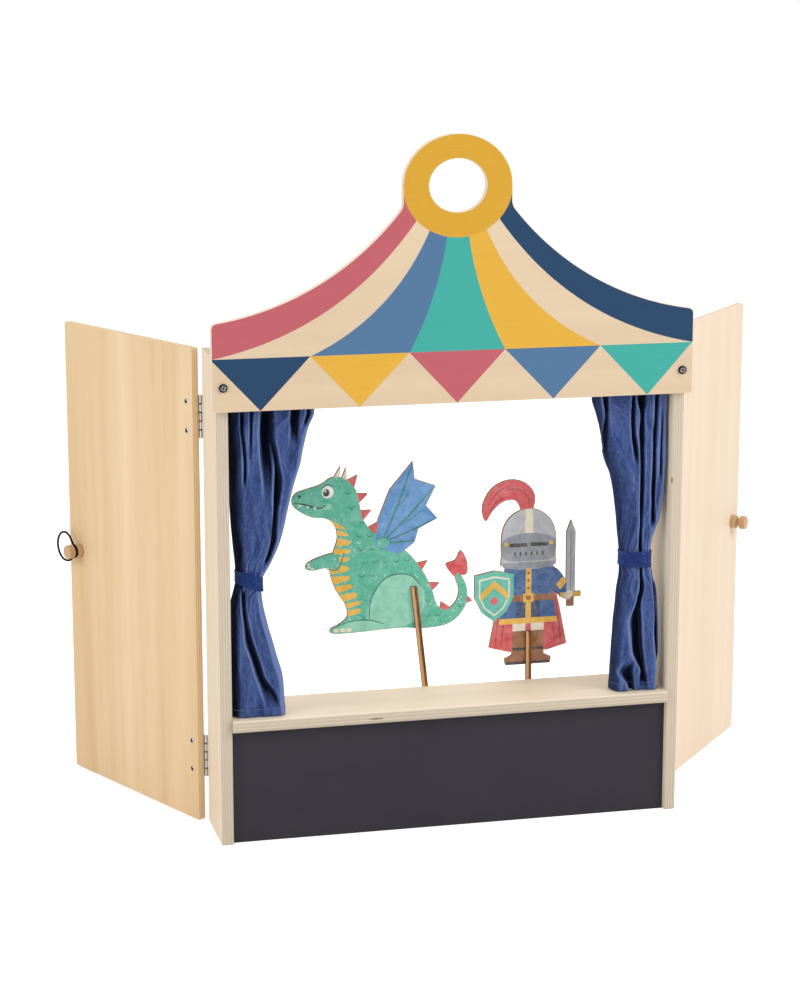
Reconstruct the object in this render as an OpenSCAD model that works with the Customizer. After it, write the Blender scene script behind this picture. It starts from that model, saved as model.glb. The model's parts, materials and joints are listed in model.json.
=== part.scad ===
// Tabletop puppet theatre, in millimetres.
// Z is up from the table and +Y runs from the audience to the back. The origin lies on the
// table, midway along the front board and in the middle of its thickness.

/* [Box] */
// Width over the two side panels
box_w = 480; // [440:5:540]
// Depth of the side panels, front to back
box_d = 80; // [74:1:110]
// Height of the side panels
box_h = 494; // [480:1:540]
// Thickness of the plywood of the box
ply_t = 12; // [11:0.5:15]
// Rounding of the plywood's edges
edge_r = 1; // [0.5:0.25:2]

/* [Shelf and front board] */
// Height of the shelf's top above the table
shelf_z = 130; // [110:1:150]
// How far the shelf's nose stands out in front of the panels
shelf_nose = 6; // [3:0.5:10]
// Rounding of the shelf's nose
nose_r = 3; // [1:0.5:5]
// Thickness of the chalkboard
board_t = 6; // [4:0.5:8]
// How far the chalkboard lies behind the panels' front edges
board_recess = 6; // [3:0.5:10]
// Depth of the grooves that hold the chalkboard
groove_deep = 4; // [2:0.5:6]
// Diameter of the shelf dowels
dowel_d = 6; // [4:0.5:8]
// How far a shelf dowel reaches into each piece
dowel_in = 8; // [6:0.5:9.5]
// Distance from the panels' front edges back to the front dowels
dowel_front_in = 22; // [18:1:26]
// Distance from the shelf's back edge forward to the rear dowels
dowel_back_in = 16; // [10:1:24]

/* [Pediment] */
// How far the pediment board stands out past each side panel
pediment_over = 5; // [2:0.5:20]
// Thickness of the pediment board
pediment_t = 8.5; // [6:0.5:12]
// How far the pediment's lower edge lies below the panels' top
pediment_drop = 51; // [45:1:60]
// Height of the tent's eaves above the panels' top
eaves_rise = 36; // [26:1:46]
// Height of the tent's peak, where its slope meets the ring, above the panels' top
peak_rise = 139; // [131:1:146]
// Radius of the tent's hanging slope
slope_r = 287; // [260:1:400]
// Rounding where the slope turns up beside the ring
neck_r = 14; // [6:1:20]
// Rounding of the upper corners
eaves_r = 6; // [2:0.5:10]
// Rounding of the lower corners
lower_corner_r = 3; // [1:0.5:6]
// Width of the ring at the top
ring_w = 110; // [90:1:120]
// Height of the ring at the top
ring_h = 100; // [84:1:110]
// Height of the ring's centre above the panels' top
ring_rise = 163; // [156:1:176]
// Width of the hole in the ring
hole_w = 58; // [40:1:64]
// Height of the hole in the ring
hole_h = 52; // [36:1:58]
// How far the two pediment screws lie below the panels' top
pediment_screw_drop = 27; // [24:1:36]
// Diameter of a pediment screw's head
pediment_head_d = 8.5; // [7:0.5:10]
// Height of a pediment screw's head
pediment_head_h = 2.6; // [2:0.1:4]
// Width of the cross recess in a pediment screw's head
pediment_slot_w = 1.2; // [0.8:0.1:1.6]
// Diameter of a pediment screw's shank
pediment_shank_d = 4; // [3:0.5:5]
// Length of a pediment screw under its head
pediment_screw_len = 26; // [20:1:36]

/* [Doors] */
// Thickness of a door
door_t = 8; // [6:0.5:10]
// Clearance under a door
door_foot_gap = 1.5; // [1:0.5:4]
// Gap between the two doors when they are shut
door_meet_gap = 2; // [1:0.5:4]
// Rounding of a door's corners
door_corner_r = 4; // [1:0.5:8]
// Angle that the left door stands open
left_open = 115; // [0:1:195]
// Angle that the right door stands open
right_open = 130; // [0:1:195]

/* [Hinges] */
// Length of a hinge
hinge_len = 44; // [36:1:56]
// Distance from a panel's end to the middle of its nearer hinge
hinge_in = 70; // [45:1:90]
// Thickness of a hinge leaf
leaf_t = 0.8; // [0.6:0.1:1.2]
// Width of the leaf on a panel's edge
frame_leaf_w = 11; // [9:0.5:11.5]
// Width of the leaf on a door
door_leaf_w = 15; // [13:0.5:18]
// Outer diameter of the knuckles
knuckle_d = 3; // [2.8:0.1:3.2]
// Diameter of a hinge pin
pin_d = 1.6; // [1.2:0.1:1.8]
// Distance from a panel's outer face out to the hinge's axis
hinge_out = 1.7; // [1.7:0.1:2.4]
// Distance between the two fixings of a leaf
fixing_space = 30; // [22:1:34]
// Distance from a door's hinge edge to its rivets
rivet_in = 10; // [8:0.5:12]
// Diameter of a rivet's domed end
rivet_dome_d = 6; // [5:0.5:7]
// Height of a rivet's domed end
rivet_dome_h = 1.2; // [0.8:0.1:2]
// Diameter of a rivet's shank
rivet_shank_d = 3; // [2:0.5:3]
// Length of a hinge screw in the panel
hinge_screw_len = 10; // [8:0.5:16]

/* [Knobs and loop] */
// Distance from a door's free edge to its knob
knob_in = 20; // [19:0.5:24]
// Length of a knob
knob_len = 17; // [15:0.5:20]
// Diameter of a knob
knob_d = 15; // [13:0.5:16]
// Diameter of a knob's neck
knob_neck_d = 9; // [8:0.5:9.2]
// Distance from the door to the middle of the neck
knob_neck_at = 8; // [7:0.5:9]
// Diameter of the elastic cord
elastic_d = 2.3; // [1.5:0.1:2.4]

/* [Curtains] */
// Diameter of the curtain rod
rod_d = 8; // [6:0.5:10]
// How far the curtain rod lies below the panels' top
rod_drop = 16; // [12:1:18]
// Distance from the panels' front edges back to the rod
rod_back = 18; // [17:0.5:24]
// How far the rod reaches into each panel
rod_in = 6; // [4:0.5:9]
// Outer diameter of the sleeve that holds the rod
sleeve_d = 15; // [13:0.5:18]
// Height of a tieback's middle above the shelf
tieback_rise = 138; // [120:1:160]
// Height of a tieback band
tieback_h = 20; // [14:1:26]
// Thickness of a tieback band
tieback_t = 1.2; // [0.8:0.1:2]

/* [Puppets] */
// Thickness of a puppet's figure
figure_t = 3; // [2:0.25:3.5]
// Thickness of a puppet's stick
stick_t = 3; // [2:0.25:3]
// Width of a puppet's stick
stick_w = 6; // [4:0.5:8]
// Distance of the dragon's middle from the theatre's middle
dragon_x = -58; // [-70:1:-50]
// Height of the dragon's feet above the shelf
dragon_rise = 62; // [40:1:80]
// Height of the dragon
dragon_h = 176; // [150:1:180]
// Gap between the dragon and the knight
puppet_gap = 3; // [2:1:8]
// Height of the knight's soles above the shelf
knight_rise = 16; // [10:1:40]
// Height of the knight
knight_h = 198; // [170:1:200]

/* [Hidden] */
$fn = 48;

// Clearances
fit = 0.05;
board_fit = 0.2;
soft_fit = 0.3;
puppet_fit = 0.3;
// How far a cutting solid reaches past the faces it cuts, and a joined solid into its neighbour
cut = 1;
join = 0.01;
// How much deeper a blind hole is than what stands in it
hole_spare = 1;
end_gap = 0.5;

// Places of the box
front_y = -(board_recess + board_t / 2);
back_y = front_y + box_d;
inner_x = box_w / 2 - ply_t;
shelf_under_z = shelf_z - ply_t;
shelf_front_y = front_y - shelf_nose;
// The puppets fit between the shelf and the shut doors
shelf_back_y = back_y - stick_t - figure_t;
dowel_ys = [front_y + dowel_front_in, shelf_back_y - dowel_back_in];
panel_mid_x = box_w / 2 - ply_t / 2;
pediment_w = box_w + 2 * pediment_over;
pediment_z = box_h - pediment_drop;
eaves_z = box_h + eaves_rise;
peak_z = box_h + peak_rise;
ring_z = box_h + ring_rise;
pediment_screw_z = box_h - pediment_screw_drop;
rod_z = box_h - rod_drop;
tieback_z = shelf_z + tieback_rise;
rod_y = front_y + rod_back;
upper_hinge_z = box_h - hinge_in;
lower_hinge_z = hinge_in;

// Places of the doors, in a door's own frame: the hinge's axis at zero, X along the shut
// door towards its free edge and Y out from the stage
hinge_x = box_w / 2 + hinge_out;
hinge_y = back_y + leaf_t;
door_w = box_w / 2 - door_meet_gap / 2;
door_h = box_h - door_foot_gap;
door_face = leaf_t + door_t;
knob_u = hinge_out + door_w - knob_in;
knob_z = door_foot_gap + door_h / 2;
rivet_u = hinge_out + rivet_in;
hinge_screw_u = hinge_out + ply_t / 2;

wood = "burlywood";
pale_wood = "wheat";
steel = "silver";
cloth = "midnightblue";

// Curves
function arc(c, r, a0, a1, n) =
  [for (i = [0:n]) let (a = a0 + (a1 - a0) * i / n) c + r * [cos(a), sin(a)]];

function ellipse(c, rx, rz, n) =
  [for (i = [0:n - 1]) let (a = 360 * i / n) c + [rx * cos(a), rz * sin(a)]];

// A smooth closed curve through the points p, with n steps from each point to the next
function smooth(p, n) =
  [for (i = [0:len(p) - 1])
    let (m = len(p), a = p[(i + m - 1) % m], b = p[i], c = p[(i + 1) % m], d = p[(i + 2) % m])
    for (j = [0:n - 1])
      let (t = j / n)
      0.5 * (2 * b + (c - a) * t + (2 * a - 5 * b + 4 * c - d) * t * t
        + (3 * b - a - 3 * c + d) * t * t * t)];

function mirrored(p) = [for (i = [len(p) - 1:-1:0]) [-p[i][0], p[i][1]]];

// A rectangle with round corners, its lower left corner at zero
module soft_square(w, h, r) {
  translate([r, 0]) square([w - 2 * r, h]);
  translate([0, r]) square([w, h - 2 * r]);
  for (x = [r, w - r], y = [r, h - r]) translate([x, y]) circle(r);
}

// Stands a flat shape drawn in X and Z upright, t thick, with its front at y
module upright(y, t) {
  translate([0, y + t, 0]) rotate([90, 0, 0]) linear_extrude(t) children();
}

// A cylinder along +X, or along +Y
module along_x(p, r, l) { translate(p) rotate([0, 90, 0]) cylinder(h = l, r = r); }
module along_y(p, r, l) { translate(p) rotate([-90, 0, 0]) cylinder(h = l, r = r); }

// A cone along +Y
module cone_y(p, r0, r1, l) { translate(p) rotate([-90, 0, 0]) cylinder(h = l, r1 = r0, r2 = r1); }

// Box
module side_panel() {
  dowel_r = dowel_d / 2 + fit;
  difference() {
    translate([inner_x, front_y, 0]) linear_extrude(box_h) soft_square(ply_t, box_d, edge_r);
    translate([inner_x - cut, -board_t / 2 - board_fit, -cut])
      cube([groove_deep + cut, board_t + 2 * board_fit, shelf_under_z + groove_deep + cut]);
    for (y = dowel_ys)
      along_x([inner_x - cut, y, shelf_z - ply_t / 2], dowel_r, dowel_in + cut);
    along_x([inner_x - cut, rod_y, rod_z], rod_d / 2 + fit, rod_in + cut);
    along_y([panel_mid_x, front_y - cut, pediment_screw_z], pediment_shank_d / 2 + fit,
      pediment_screw_len - pediment_t + hole_spare + cut);
    for (z = fixing_zs()) along_y([panel_mid_x, back_y - hinge_screw_len - hole_spare, z],
      hinge_shank_r + fit, hinge_screw_len + hole_spare + cut);
  }
}

// Heights of the four fixings of one door's two hinges
function fixing_zs() =
  [for (z = [lower_hinge_z, upper_hinge_z], s = [-1, 1]) z + s * fixing_space / 2];

module right_side_panel() { color(wood) side_panel(); }
module left_side_panel() { color(wood) mirror([1, 0, 0]) side_panel(); }

module stage_shelf() {
  depth = shelf_back_y - shelf_front_y;
  color(pale_wood) difference() {
    // The section is drawn with Y across and Z up, and runs from panel to panel
    translate([-inner_x, 0, 0]) rotate([90, 0, 90]) linear_extrude(2 * inner_x)
      translate([shelf_front_y, shelf_under_z]) shelf_section(depth);
    translate([-inner_x - cut, -board_t / 2 - board_fit, shelf_under_z - cut])
      cube([2 * inner_x + 2 * cut, board_t + 2 * board_fit, groove_deep + cut]);
    for (s = [-1, 1], y = dowel_ys)
      along_x([s * (inner_x - dowel_in / 2) - (dowel_in / 2 + cut), y, shelf_z - ply_t / 2],
        dowel_d / 2 + fit, dowel_in + 2 * cut);
  }
}

module shelf_section(depth) {
  translate([nose_r, 0]) square([depth - nose_r, ply_t]);
  translate([0, nose_r]) square([depth, ply_t - 2 * nose_r]);
  for (z = [nose_r, ply_t - nose_r]) translate([nose_r, z]) circle(nose_r);
}

module shelf_dowels() {
  color(pale_wood) for (s = [-1, 1], y = dowel_ys)
    along_x([s * inner_x - dowel_in + end_gap, y, shelf_z - ply_t / 2], dowel_d / 2,
      2 * (dowel_in - end_gap));
}

module chalkboard() {
  reach = inner_x + groove_deep - board_fit;
  color("dimgray") translate([-reach, -board_t / 2, 0])
    cube([2 * reach, board_t, shelf_under_z + groove_deep - board_fit]);
}

// Pediment
// The slope hangs on a circle that passes through the peak and the eaves
eaves_x = pediment_w / 2 - eaves_r;
peak_out = 3;
peak_x = ring_w / 2 + peak_out;
slope_mid = [eaves_x + peak_x, eaves_z + peak_z] / 2;
slope_run = [eaves_x - peak_x, eaves_z - peak_z];
slope_rise = sqrt(slope_r * slope_r - (slope_run * slope_run) / 4);
slope_c = slope_mid + slope_rise * [-slope_run[1], slope_run[0]] / norm(slope_run);

// The neck's circle touches the ring's side and the slope from inside, and the eaves' circle
// touches the board's side and the slope from outside
neck_cx = ring_w / 2 + neck_r;
neck_c = [neck_cx, slope_c[1] - sqrt(pow(slope_r - neck_r, 2) - pow(slope_c[0] - neck_cx, 2))];
eaves_c = [eaves_x, slope_c[1] - sqrt(pow(slope_r + eaves_r, 2) - pow(slope_c[0] - eaves_x, 2))];
neck_way = neck_c - slope_c;
eaves_way = eaves_c - slope_c;
neck_a = atan2(neck_way[1], neck_way[0]);
eaves_a = atan2(eaves_way[1], eaves_way[0]);

// The right half of the outline, from the lower corner up to the ring's side
half_outline = concat(
  arc([pediment_w / 2 - lower_corner_r, pediment_z + lower_corner_r], lower_corner_r, -90, 0, 4),
  arc(eaves_c, eaves_r, 0, eaves_a + 180, 5),
  arc(slope_c, slope_r, eaves_a, neck_a, 28),
  arc(neck_c, neck_r, neck_a + 360, 180, 6)
);
ring_c = [0, ring_z];
ring_top = [for (i = [0:36]) let (a = 180 * i / 36)
  ring_c + [ring_w / 2 * cos(a), ring_h / 2 * sin(a)]];

module pediment_board() {
  color(wood) difference() {
    upright(front_y - pediment_t, pediment_t) difference() {
      polygon(concat(half_outline, ring_top, mirrored(half_outline)));
      polygon(ellipse(ring_c, hole_w / 2, hole_h / 2, 64));
    }
    for (s = [-1, 1])
      along_y([s * panel_mid_x, front_y - pediment_t - cut, pediment_screw_z],
        pediment_shank_d / 2 + fit, pediment_t + 2 * cut);
  }
}

// A screw along +Y with its head's underside at zero
module pan_head_screw() {
  head_r = pediment_head_d / 2;
  rim_h = 0.3 * pediment_head_h;
  crown_h = pediment_head_h - rim_h;
  slot_l = 0.55 * pediment_head_d;
  slot_h = 0.6 * pediment_head_h;
  // The head's crown is a quarter of an ellipse, turned about the screw's axis
  crown = [for (a = [0:11.25:90]) [head_r * cos(a), rim_h + crown_h * sin(a)]];
  difference() {
    union() {
      rotate([90, 0, 0]) rotate_extrude() polygon(concat([[0, 0], [head_r, 0]], crown));
      rotate([-90, 0, 0]) cylinder(h = pediment_screw_len, r = pediment_shank_d / 2);
    }
    for (a = [0, 90]) rotate([0, a, 0])
      translate([-slot_l / 2, -pediment_head_h - cut, -pediment_slot_w / 2])
        cube([slot_l, slot_h + cut, pediment_slot_w]);
  }
}

// The recesses stand a little turned, as screws do
screw_turn = 25;

module pediment_screws() {
  color("#1c1c1e") for (s = [-1, 1])
    translate([s * panel_mid_x, front_y - pediment_t, pediment_screw_z])
      rotate([0, s * screw_turn, 0]) pan_head_screw();
}

// Curtains
module curtain_rod() {
  reach = inner_x + rod_in - end_gap;
  color(pale_wood) along_x([-reach, rod_y, rod_z], rod_d / 2, 2 * reach);
}

// Each curtain hangs as a fluted bundle. Its plan at every height is a rounded oval between an
// outer and an inner edge, with valleys pressed into its front and back. A height is given as
// -1 at the foot, 0 at the waist that the tieback draws in, and 1 at the top.
sleeve_overlap = 0.7;
hang_top = rod_z - sleeve_d / 2 + sleeve_overlap;
hang_foot = shelf_z + soft_fit;

// Distances in from the panel to the bundle's two edges, and half its depth, at each height.
// The waist keeps one width behind the whole band.
left_inner = [[-1, 55], [-0.75, 55], [-0.59, 51], [-0.47, 44], [-0.36, 38], [-0.1, 35],
  [0.07, 35], [0.17, 50], [0.27, 56], [0.46, 66], [0.66, 77], [0.83, 88], [1, 94]];
left_outer = [[-1, 6], [-0.85, 4], [-0.36, 2.5], [-0.1, 8.5], [0.07, 8.5], [0.17, 5.5],
  [0.36, 2], [1, 1.5]];
right_inner = [[-1, 56], [-0.93, 57], [-0.63, 55], [-0.36, 52], [-0.1, 48], [0.07, 48],
  [0.17, 51], [0.27, 54], [0.46, 62], [0.66, 72], [0.83, 80], [1, 85]];
right_outer = [[-1, 8], [-0.63, 5], [-0.36, 8], [-0.1, 15], [0.07, 15], [0.17, 9],
  [0.27, 4], [0.36, 2], [1, 1.5]];
half_depths = [[-1, 15], [-0.5, 14], [-0.1, 10.5], [0.07, 10.5], [0.3, 13], [0.71, 13], [1, 6.5]];

// Valleys run up the bundle as [place at the foot, at the waist, at the top, width, depth],
// with places as shares from the outer edge to the inner edge
left_valleys = [[0.1, 0.12, 0.07, 0.05, 0.6], [0.38, 0.4, 0.44, 0.07, 0.75],
  [0.2, 0.25, 0.2, 0.03, 0.4], [0.75, 0.78, 0.9, 0.05, 0.45]];
right_valleys = [[0.3, 0.25, 0.16, 0.03, 0.6], [0.36, 0.35, 0.33, 0.05, 0.65],
  [0.6, 0.55, 0.52, 0.03, 0.5], [0.9, 0.85, 0.82, 0.06, 0.55]];
valley_floor = 0.2;
oval_power = 2.6;

// How far the sleeve stands out past the gathered cloth at each end
sleeve_end = 0.6;

// Heights of the bundle's rings, and half the number of points in each
ring_heights = [-1, -0.85, -0.7, -0.55, -0.4, -0.25, -0.1, 0.07, 0.17, 0.29, 0.42, 0.55, 0.68,
  0.81, 0.92, 1];
curtain_sides = 32;

function height_z(h) =
  h < 0 ? tieback_z + (tieback_z - hang_foot) * h : tieback_z + (hang_top - tieback_z) * h;

function valley_at(v, h) = h < 0 ? v[1] + (v[1] - v[0]) * h : v[1] + (v[2] - v[1]) * h;

function pressed(valleys, s, h, i = 0) =
  i >= len(valleys) ? 1 :
  (1 - valleys[i][4] * exp(-pow((s - valley_at(valleys[i], h)) / valleys[i][3], 2)))
    * pressed(valleys, s, h, i + 1);

// One ring of the bundle at the height h, round from the outer edge
function curtain_ring(outer, inner, valleys, h) =
  let (x0 = inner_x - lookup(h, outer), x1 = inner_x - lookup(h, inner), d = lookup(h, half_depths))
  [for (k = [0:2 * curtain_sides - 1])
    let (
      a = 180 * k / curtain_sides,
      s = (1 - cos(a)) / 2,
      front = sin(a) >= 0,
      oval = pow(1 - pow(abs(2 * s - 1), oval_power), 1 / oval_power),
      press = max(valley_floor, pressed(valleys, front ? s : 1 - s, h))
    )
    [x0 + (x1 - x0) * s, rod_y + (front ? -1 : 1) * d * oval * press, height_z(h)]];

module curtain_hang(outer, inner, valleys) {
  n = 2 * curtain_sides;
  rings = len(ring_heights) - 1;
  points = [for (h = ring_heights) each curtain_ring(outer, inner, valleys, h)];
  sides = [for (j = [0:rings - 1], k = [0:n - 1])
    let (a = j * n + k, b = j * n + (k + 1) % n) each [[b + n, a + n, a], [b, b + n, a]]];
  foot = [for (k = [0:curtain_sides - 1]) let (a = k, b = k + 1, c = (n - k) % n, d = n - k - 1)
    each concat(c == a ? [] : [[c, b, a]], d == b ? [] : [[d, b, c]])];
  top = [for (f = foot) [f[2], f[1], f[0]] + rings * n * [1, 1, 1]];
  polyhedron(points, concat(sides, foot, top));
}

module curtain(outer, inner, valleys) {
  x_out = inner_x - lookup(1, outer) + sleeve_end;
  x_in = inner_x - lookup(1, inner) - sleeve_end;
  curtain_hang(outer, inner, valleys);
  difference() {
    along_x([x_in, rod_y, rod_z], sleeve_d / 2, x_out - x_in);
    along_x([x_in - cut, rod_y, rod_z], rod_d / 2 + soft_fit, x_out - x_in + 2 * cut);
  }
}

module right_curtain() { color(cloth) curtain(right_outer, right_inner, right_valleys); }
module left_curtain() { color(cloth) mirror([1, 0, 0]) curtain(left_outer, left_inner, left_valleys); }

// A band round the waist of a bundle
module tieback(outer, inner) {
  x0 = inner_x - lookup(0, outer);
  x1 = inner_x - lookup(0, inner);
  c = [(x0 + x1) / 2, rod_y];
  rx = (x0 - x1) / 2 + soft_fit;
  ry = lookup(0, half_depths) + soft_fit;
  angles = [0:7.5:352.5];
  translate([0, 0, tieback_z - tieback_h / 2]) linear_extrude(tieback_h) difference() {
    polygon([for (a = angles) c + oval(a, rx + tieback_t, ry + tieback_t)]);
    polygon([for (a = angles) c + oval(a, rx, ry)]);
  }
}

function oval(a, rx, ry) = let (p = 2 / oval_power)
  [rx * sign(cos(a)) * pow(abs(cos(a)), p), ry * sign(sin(a)) * pow(abs(sin(a)), p)];

module right_tieback() { color("royalblue") tieback(right_outer, right_inner); }
module left_tieback() { color("royalblue") mirror([1, 0, 0]) tieback(left_outer, left_inner); }

// Doors and hinges
module left_swing(angle = left_open) {
  translate([-hinge_x, hinge_y, 0]) rotate([0, 0, angle]) children();
}
module right_swing(angle = right_open) { mirror([1, 0, 0]) left_swing(angle) children(); }

hinge_shank_r = 1.2;
knob_shank_r = 1.5;
knob_screw_head_r = 3.2;
knob_bore = 11;

module door() {
  difference() {
    translate([hinge_out, 0, door_foot_gap]) upright(leaf_t, door_t)
      soft_square(door_w, door_h, door_corner_r);
    for (z = fixing_zs())
      along_y([rivet_u, -cut, z], rivet_shank_d / 2 + fit, door_face + 2 * cut);
    along_y([knob_u, -cut, knob_z], knob_shank_r + fit, door_face + 2 * cut);
    cone_y([knob_u, leaf_t, knob_z], knob_screw_head_r + fit, knob_shank_r + fit,
      knob_screw_head_r - knob_shank_r);
  }
}

module left_door() { color(wood) left_swing() door(); }
module right_door() { color(wood) right_swing() door(); }

// Heads are flush, so a leaf's holes are cones from the face that shows
leaf_head_r = 2;
rivet_head_r = 2.3;
knuckles = 5;
knuckle_gap = 0.2;
knuckle_step = hinge_len / knuckles;

// The knuckles from first on, each second one, with the tabs that join them to their leaf
module leaf_knuckles(first, tab_y) {
  for (i = [first:2:knuckles - 1])
    translate([0, 0, i * knuckle_step + knuckle_gap / 2 - hinge_len / 2]) {
      cylinder(h = knuckle_step - knuckle_gap, r = knuckle_d / 2);
      translate([0, tab_y, 0]) cube([hinge_out + join, leaf_t, knuckle_step - knuckle_gap]);
    }
}

module leaf(first, y, w, fixing_x, head_y, head_r, shank_r) {
  difference() {
    union() {
      translate([hinge_out, y, -hinge_len / 2]) cube([w, leaf_t, hinge_len]);
      leaf_knuckles(first, y);
    }
    translate([0, 0, -hinge_len / 2 - cut]) cylinder(h = hinge_len + 2 * cut, r = pin_d / 2 + fit);
    for (s = [-1, 1]) translate([fixing_x, head_y, s * fixing_space / 2])
      countersink(head_y > y ? -1 : 1, head_r + fit, shank_r + fit);
  }
}

// A conical hole through a leaf that narrows along +Y or -Y
module countersink(way, head_r, shank_r) {
  rotate([-90 * way, 0, 0]) {
    translate([0, 0, -cut]) cylinder(h = cut, r = head_r);
    cylinder(h = leaf_t, r1 = head_r, r2 = shank_r);
    cylinder(h = leaf_t + cut, r = shank_r);
  }
}

module frame_leaf() {
  leaf(0, -leaf_t, frame_leaf_w, hinge_screw_u, 0, leaf_head_r, hinge_shank_r);
}
module door_leaf() { leaf(1, 0, door_leaf_w, rivet_u, 0, rivet_head_r, rivet_shank_d / 2); }

module hinge_pin() { translate([0, 0, -hinge_len / 2]) cylinder(h = hinge_len, r = pin_d / 2); }

// Places a left piece at a hinge's height, still or swung with its door
module left_fixed(z) { left_swing(0) translate([0, 0, z]) children(); }
module right_fixed(z) { right_swing(0) translate([0, 0, z]) children(); }
module left_swung(z) { left_swing() translate([0, 0, z]) children(); }
module right_swung(z) { right_swing() translate([0, 0, z]) children(); }

// A countersunk screw from a leaf's face into the panel's edge
module hinge_screws() {
  for (z = fixing_zs()) {
    cone_y([hinge_screw_u, -leaf_t, z], hinge_shank_r, leaf_head_r, leaf_t);
    along_y([hinge_screw_u, -leaf_t - hinge_screw_len, z], hinge_shank_r, hinge_screw_len + join);
  }
}

// A rivet from a door leaf through the door, domed on the door's outer face
module door_rivets() {
  dome_r = rivet_dome_d / 2;
  dome = [for (a = [0:15:90]) [dome_r * cos(a), rivet_dome_h * sin(a)]];
  for (z = fixing_zs()) {
    cone_y([rivet_u, 0, z], rivet_head_r, rivet_shank_d / 2, leaf_t);
    along_y([rivet_u, leaf_t - join, z], rivet_shank_d / 2, door_t + 2 * join);
    translate([rivet_u, door_face, z]) rotate([-90, 0, 0])
      rotate_extrude() polygon(concat([[0, 0]], dome));
  }
}

module knob() {
  r = knob_d / 2;
  neck = knob_neck_d / 2;
  half_gap = 1.7;
  ease = 1.2;
  // The turned profile: a round foot, the neck and a round cap
  profile = concat(
    [[0, 0]],
    arc([r - ease, ease], ease, -90, 0, 4),
    arc([r - ease, knob_neck_at - half_gap - ease], ease, 0, 90, 4),
    [[neck, knob_neck_at - half_gap], [neck, knob_neck_at + half_gap]],
    arc([r - ease, knob_neck_at + half_gap + ease], ease, -90, 0, 4),
    arc([r - ease, knob_len - ease], ease, 0, 90, 4),
    [[0, knob_len]]
  );
  translate([knob_u, door_face, knob_z]) rotate([-90, 0, 0]) difference() {
    rotate_extrude() polygon(profile);
    translate([0, 0, -cut]) cylinder(h = knob_bore + cut, r = knob_shank_r + fit);
  }
}

module knob_screw() {
  head_h = knob_screw_head_r - knob_shank_r;
  cone_y([knob_u, leaf_t, knob_z], knob_screw_head_r, knob_shank_r, head_h);
  along_y([knob_u, leaf_t + head_h - join, knob_z], knob_shank_r,
    door_t - head_h + knob_bore - hole_spare);
}

module left_knob() { color("peru") left_swing() knob(); }
module right_knob() { color("peru") right_swing() knob(); }
module left_knob_screw() { color(steel) left_swing() knob_screw(); }
module right_knob_screw() { color(steel) right_swing() knob_screw(); }

// The elastic loop. Its route lies parallel to the door at the middle of the knob's neck, and
// starts and ends behind the neck: [distance from the knob towards the free edge, height]
loop_route = [
  [-6.2, -0.3], [-5.3, -3.3], [-2.9, -5.5], [0.5, -6.7], [4, -8.6], [8, -11], [12, -12.3],
  [17, -12.6], [22, -11.8], [26.5, -9.2], [30, -5.2], [32, -0.2], [32.3, 5], [30.4, 10.2],
  [26.8, 14.6], [22, 17.4], [16.5, 18.4], [11, 17.2], [6.6, 14.2], [3.2, 10.4], [0, 7.2],
  [-3.1, 5.4], [-5.3, 3.3], [-6.2, 0.3]
];
loop_sides = 8;

// The direction along the route at its point i. Both ends are cut level, and face each other.
function route_way(p, i) =
  i == 0 || i == len(p) - 1 ? [0, -1] : (p[i + 1] - p[i - 1]) / norm(p[i + 1] - p[i - 1]);

module elastic_loop() {
  r = elastic_d / 2;
  n = loop_sides;
  m = len(loop_route);
  points = [for (i = [0:m - 1])
    let (p = loop_route[i], w = route_way(loop_route, i))
    for (k = [0:n - 1])
      let (a = 360 * (k + 0.5) / n, side = [-w[1], w[0]] * r * cos(a))
      [p[0] + side[0], r * sin(a), p[1] + side[1]]];
  sides = [for (i = [0:m - 2], k = [0:n - 1])
    let (a = i * n + k, b = i * n + (k + 1) % n) each [[a, b, b + n], [a, b + n, a + n]]];
  first = [for (k = [1:n - 2]) [0, k + 1, k]];
  last = [for (k = [1:n - 2]) [0, k, k + 1] + (m - 1) * n * [1, 1, 1]];
  color("#151515") left_swing()
    translate([knob_u, door_face + knob_neck_at, knob_z])
      polyhedron(points, concat(sides, first, last));
}

module left_upper_hinge_frame_leaf() { color(steel) left_fixed(upper_hinge_z) frame_leaf(); }
module left_lower_hinge_frame_leaf() { color(steel) left_fixed(lower_hinge_z) frame_leaf(); }
module right_upper_hinge_frame_leaf() { color(steel) right_fixed(upper_hinge_z) frame_leaf(); }
module right_lower_hinge_frame_leaf() { color(steel) right_fixed(lower_hinge_z) frame_leaf(); }
module left_upper_hinge_door_leaf() { color(steel) left_swung(upper_hinge_z) door_leaf(); }
module left_lower_hinge_door_leaf() { color(steel) left_swung(lower_hinge_z) door_leaf(); }
module right_upper_hinge_door_leaf() { color(steel) right_swung(upper_hinge_z) door_leaf(); }
module right_lower_hinge_door_leaf() { color(steel) right_swung(lower_hinge_z) door_leaf(); }
module left_upper_hinge_pin() { color(steel) left_fixed(upper_hinge_z) hinge_pin(); }
module left_lower_hinge_pin() { color(steel) left_fixed(lower_hinge_z) hinge_pin(); }
module right_upper_hinge_pin() { color(steel) right_fixed(upper_hinge_z) hinge_pin(); }
module right_lower_hinge_pin() { color(steel) right_fixed(lower_hinge_z) hinge_pin(); }
module left_hinge_screws() { color(steel) left_fixed(0) hinge_screws(); }
module right_hinge_screws() { color(steel) right_fixed(0) hinge_screws(); }
module left_door_rivets() { color(steel) left_swing() door_rivets(); }
module right_door_rivets() { color(steel) right_swing() door_rivets(); }

// Puppets. The stick stands on the table behind the shelf, and the figure is glued behind it.
stick_y = shelf_back_y + puppet_fit;
figure_y = stick_y + stick_t;
stick_foot_z = puppet_fit;
// Rounding of a figure's sawn outline
figure_round = 0.4;

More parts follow.
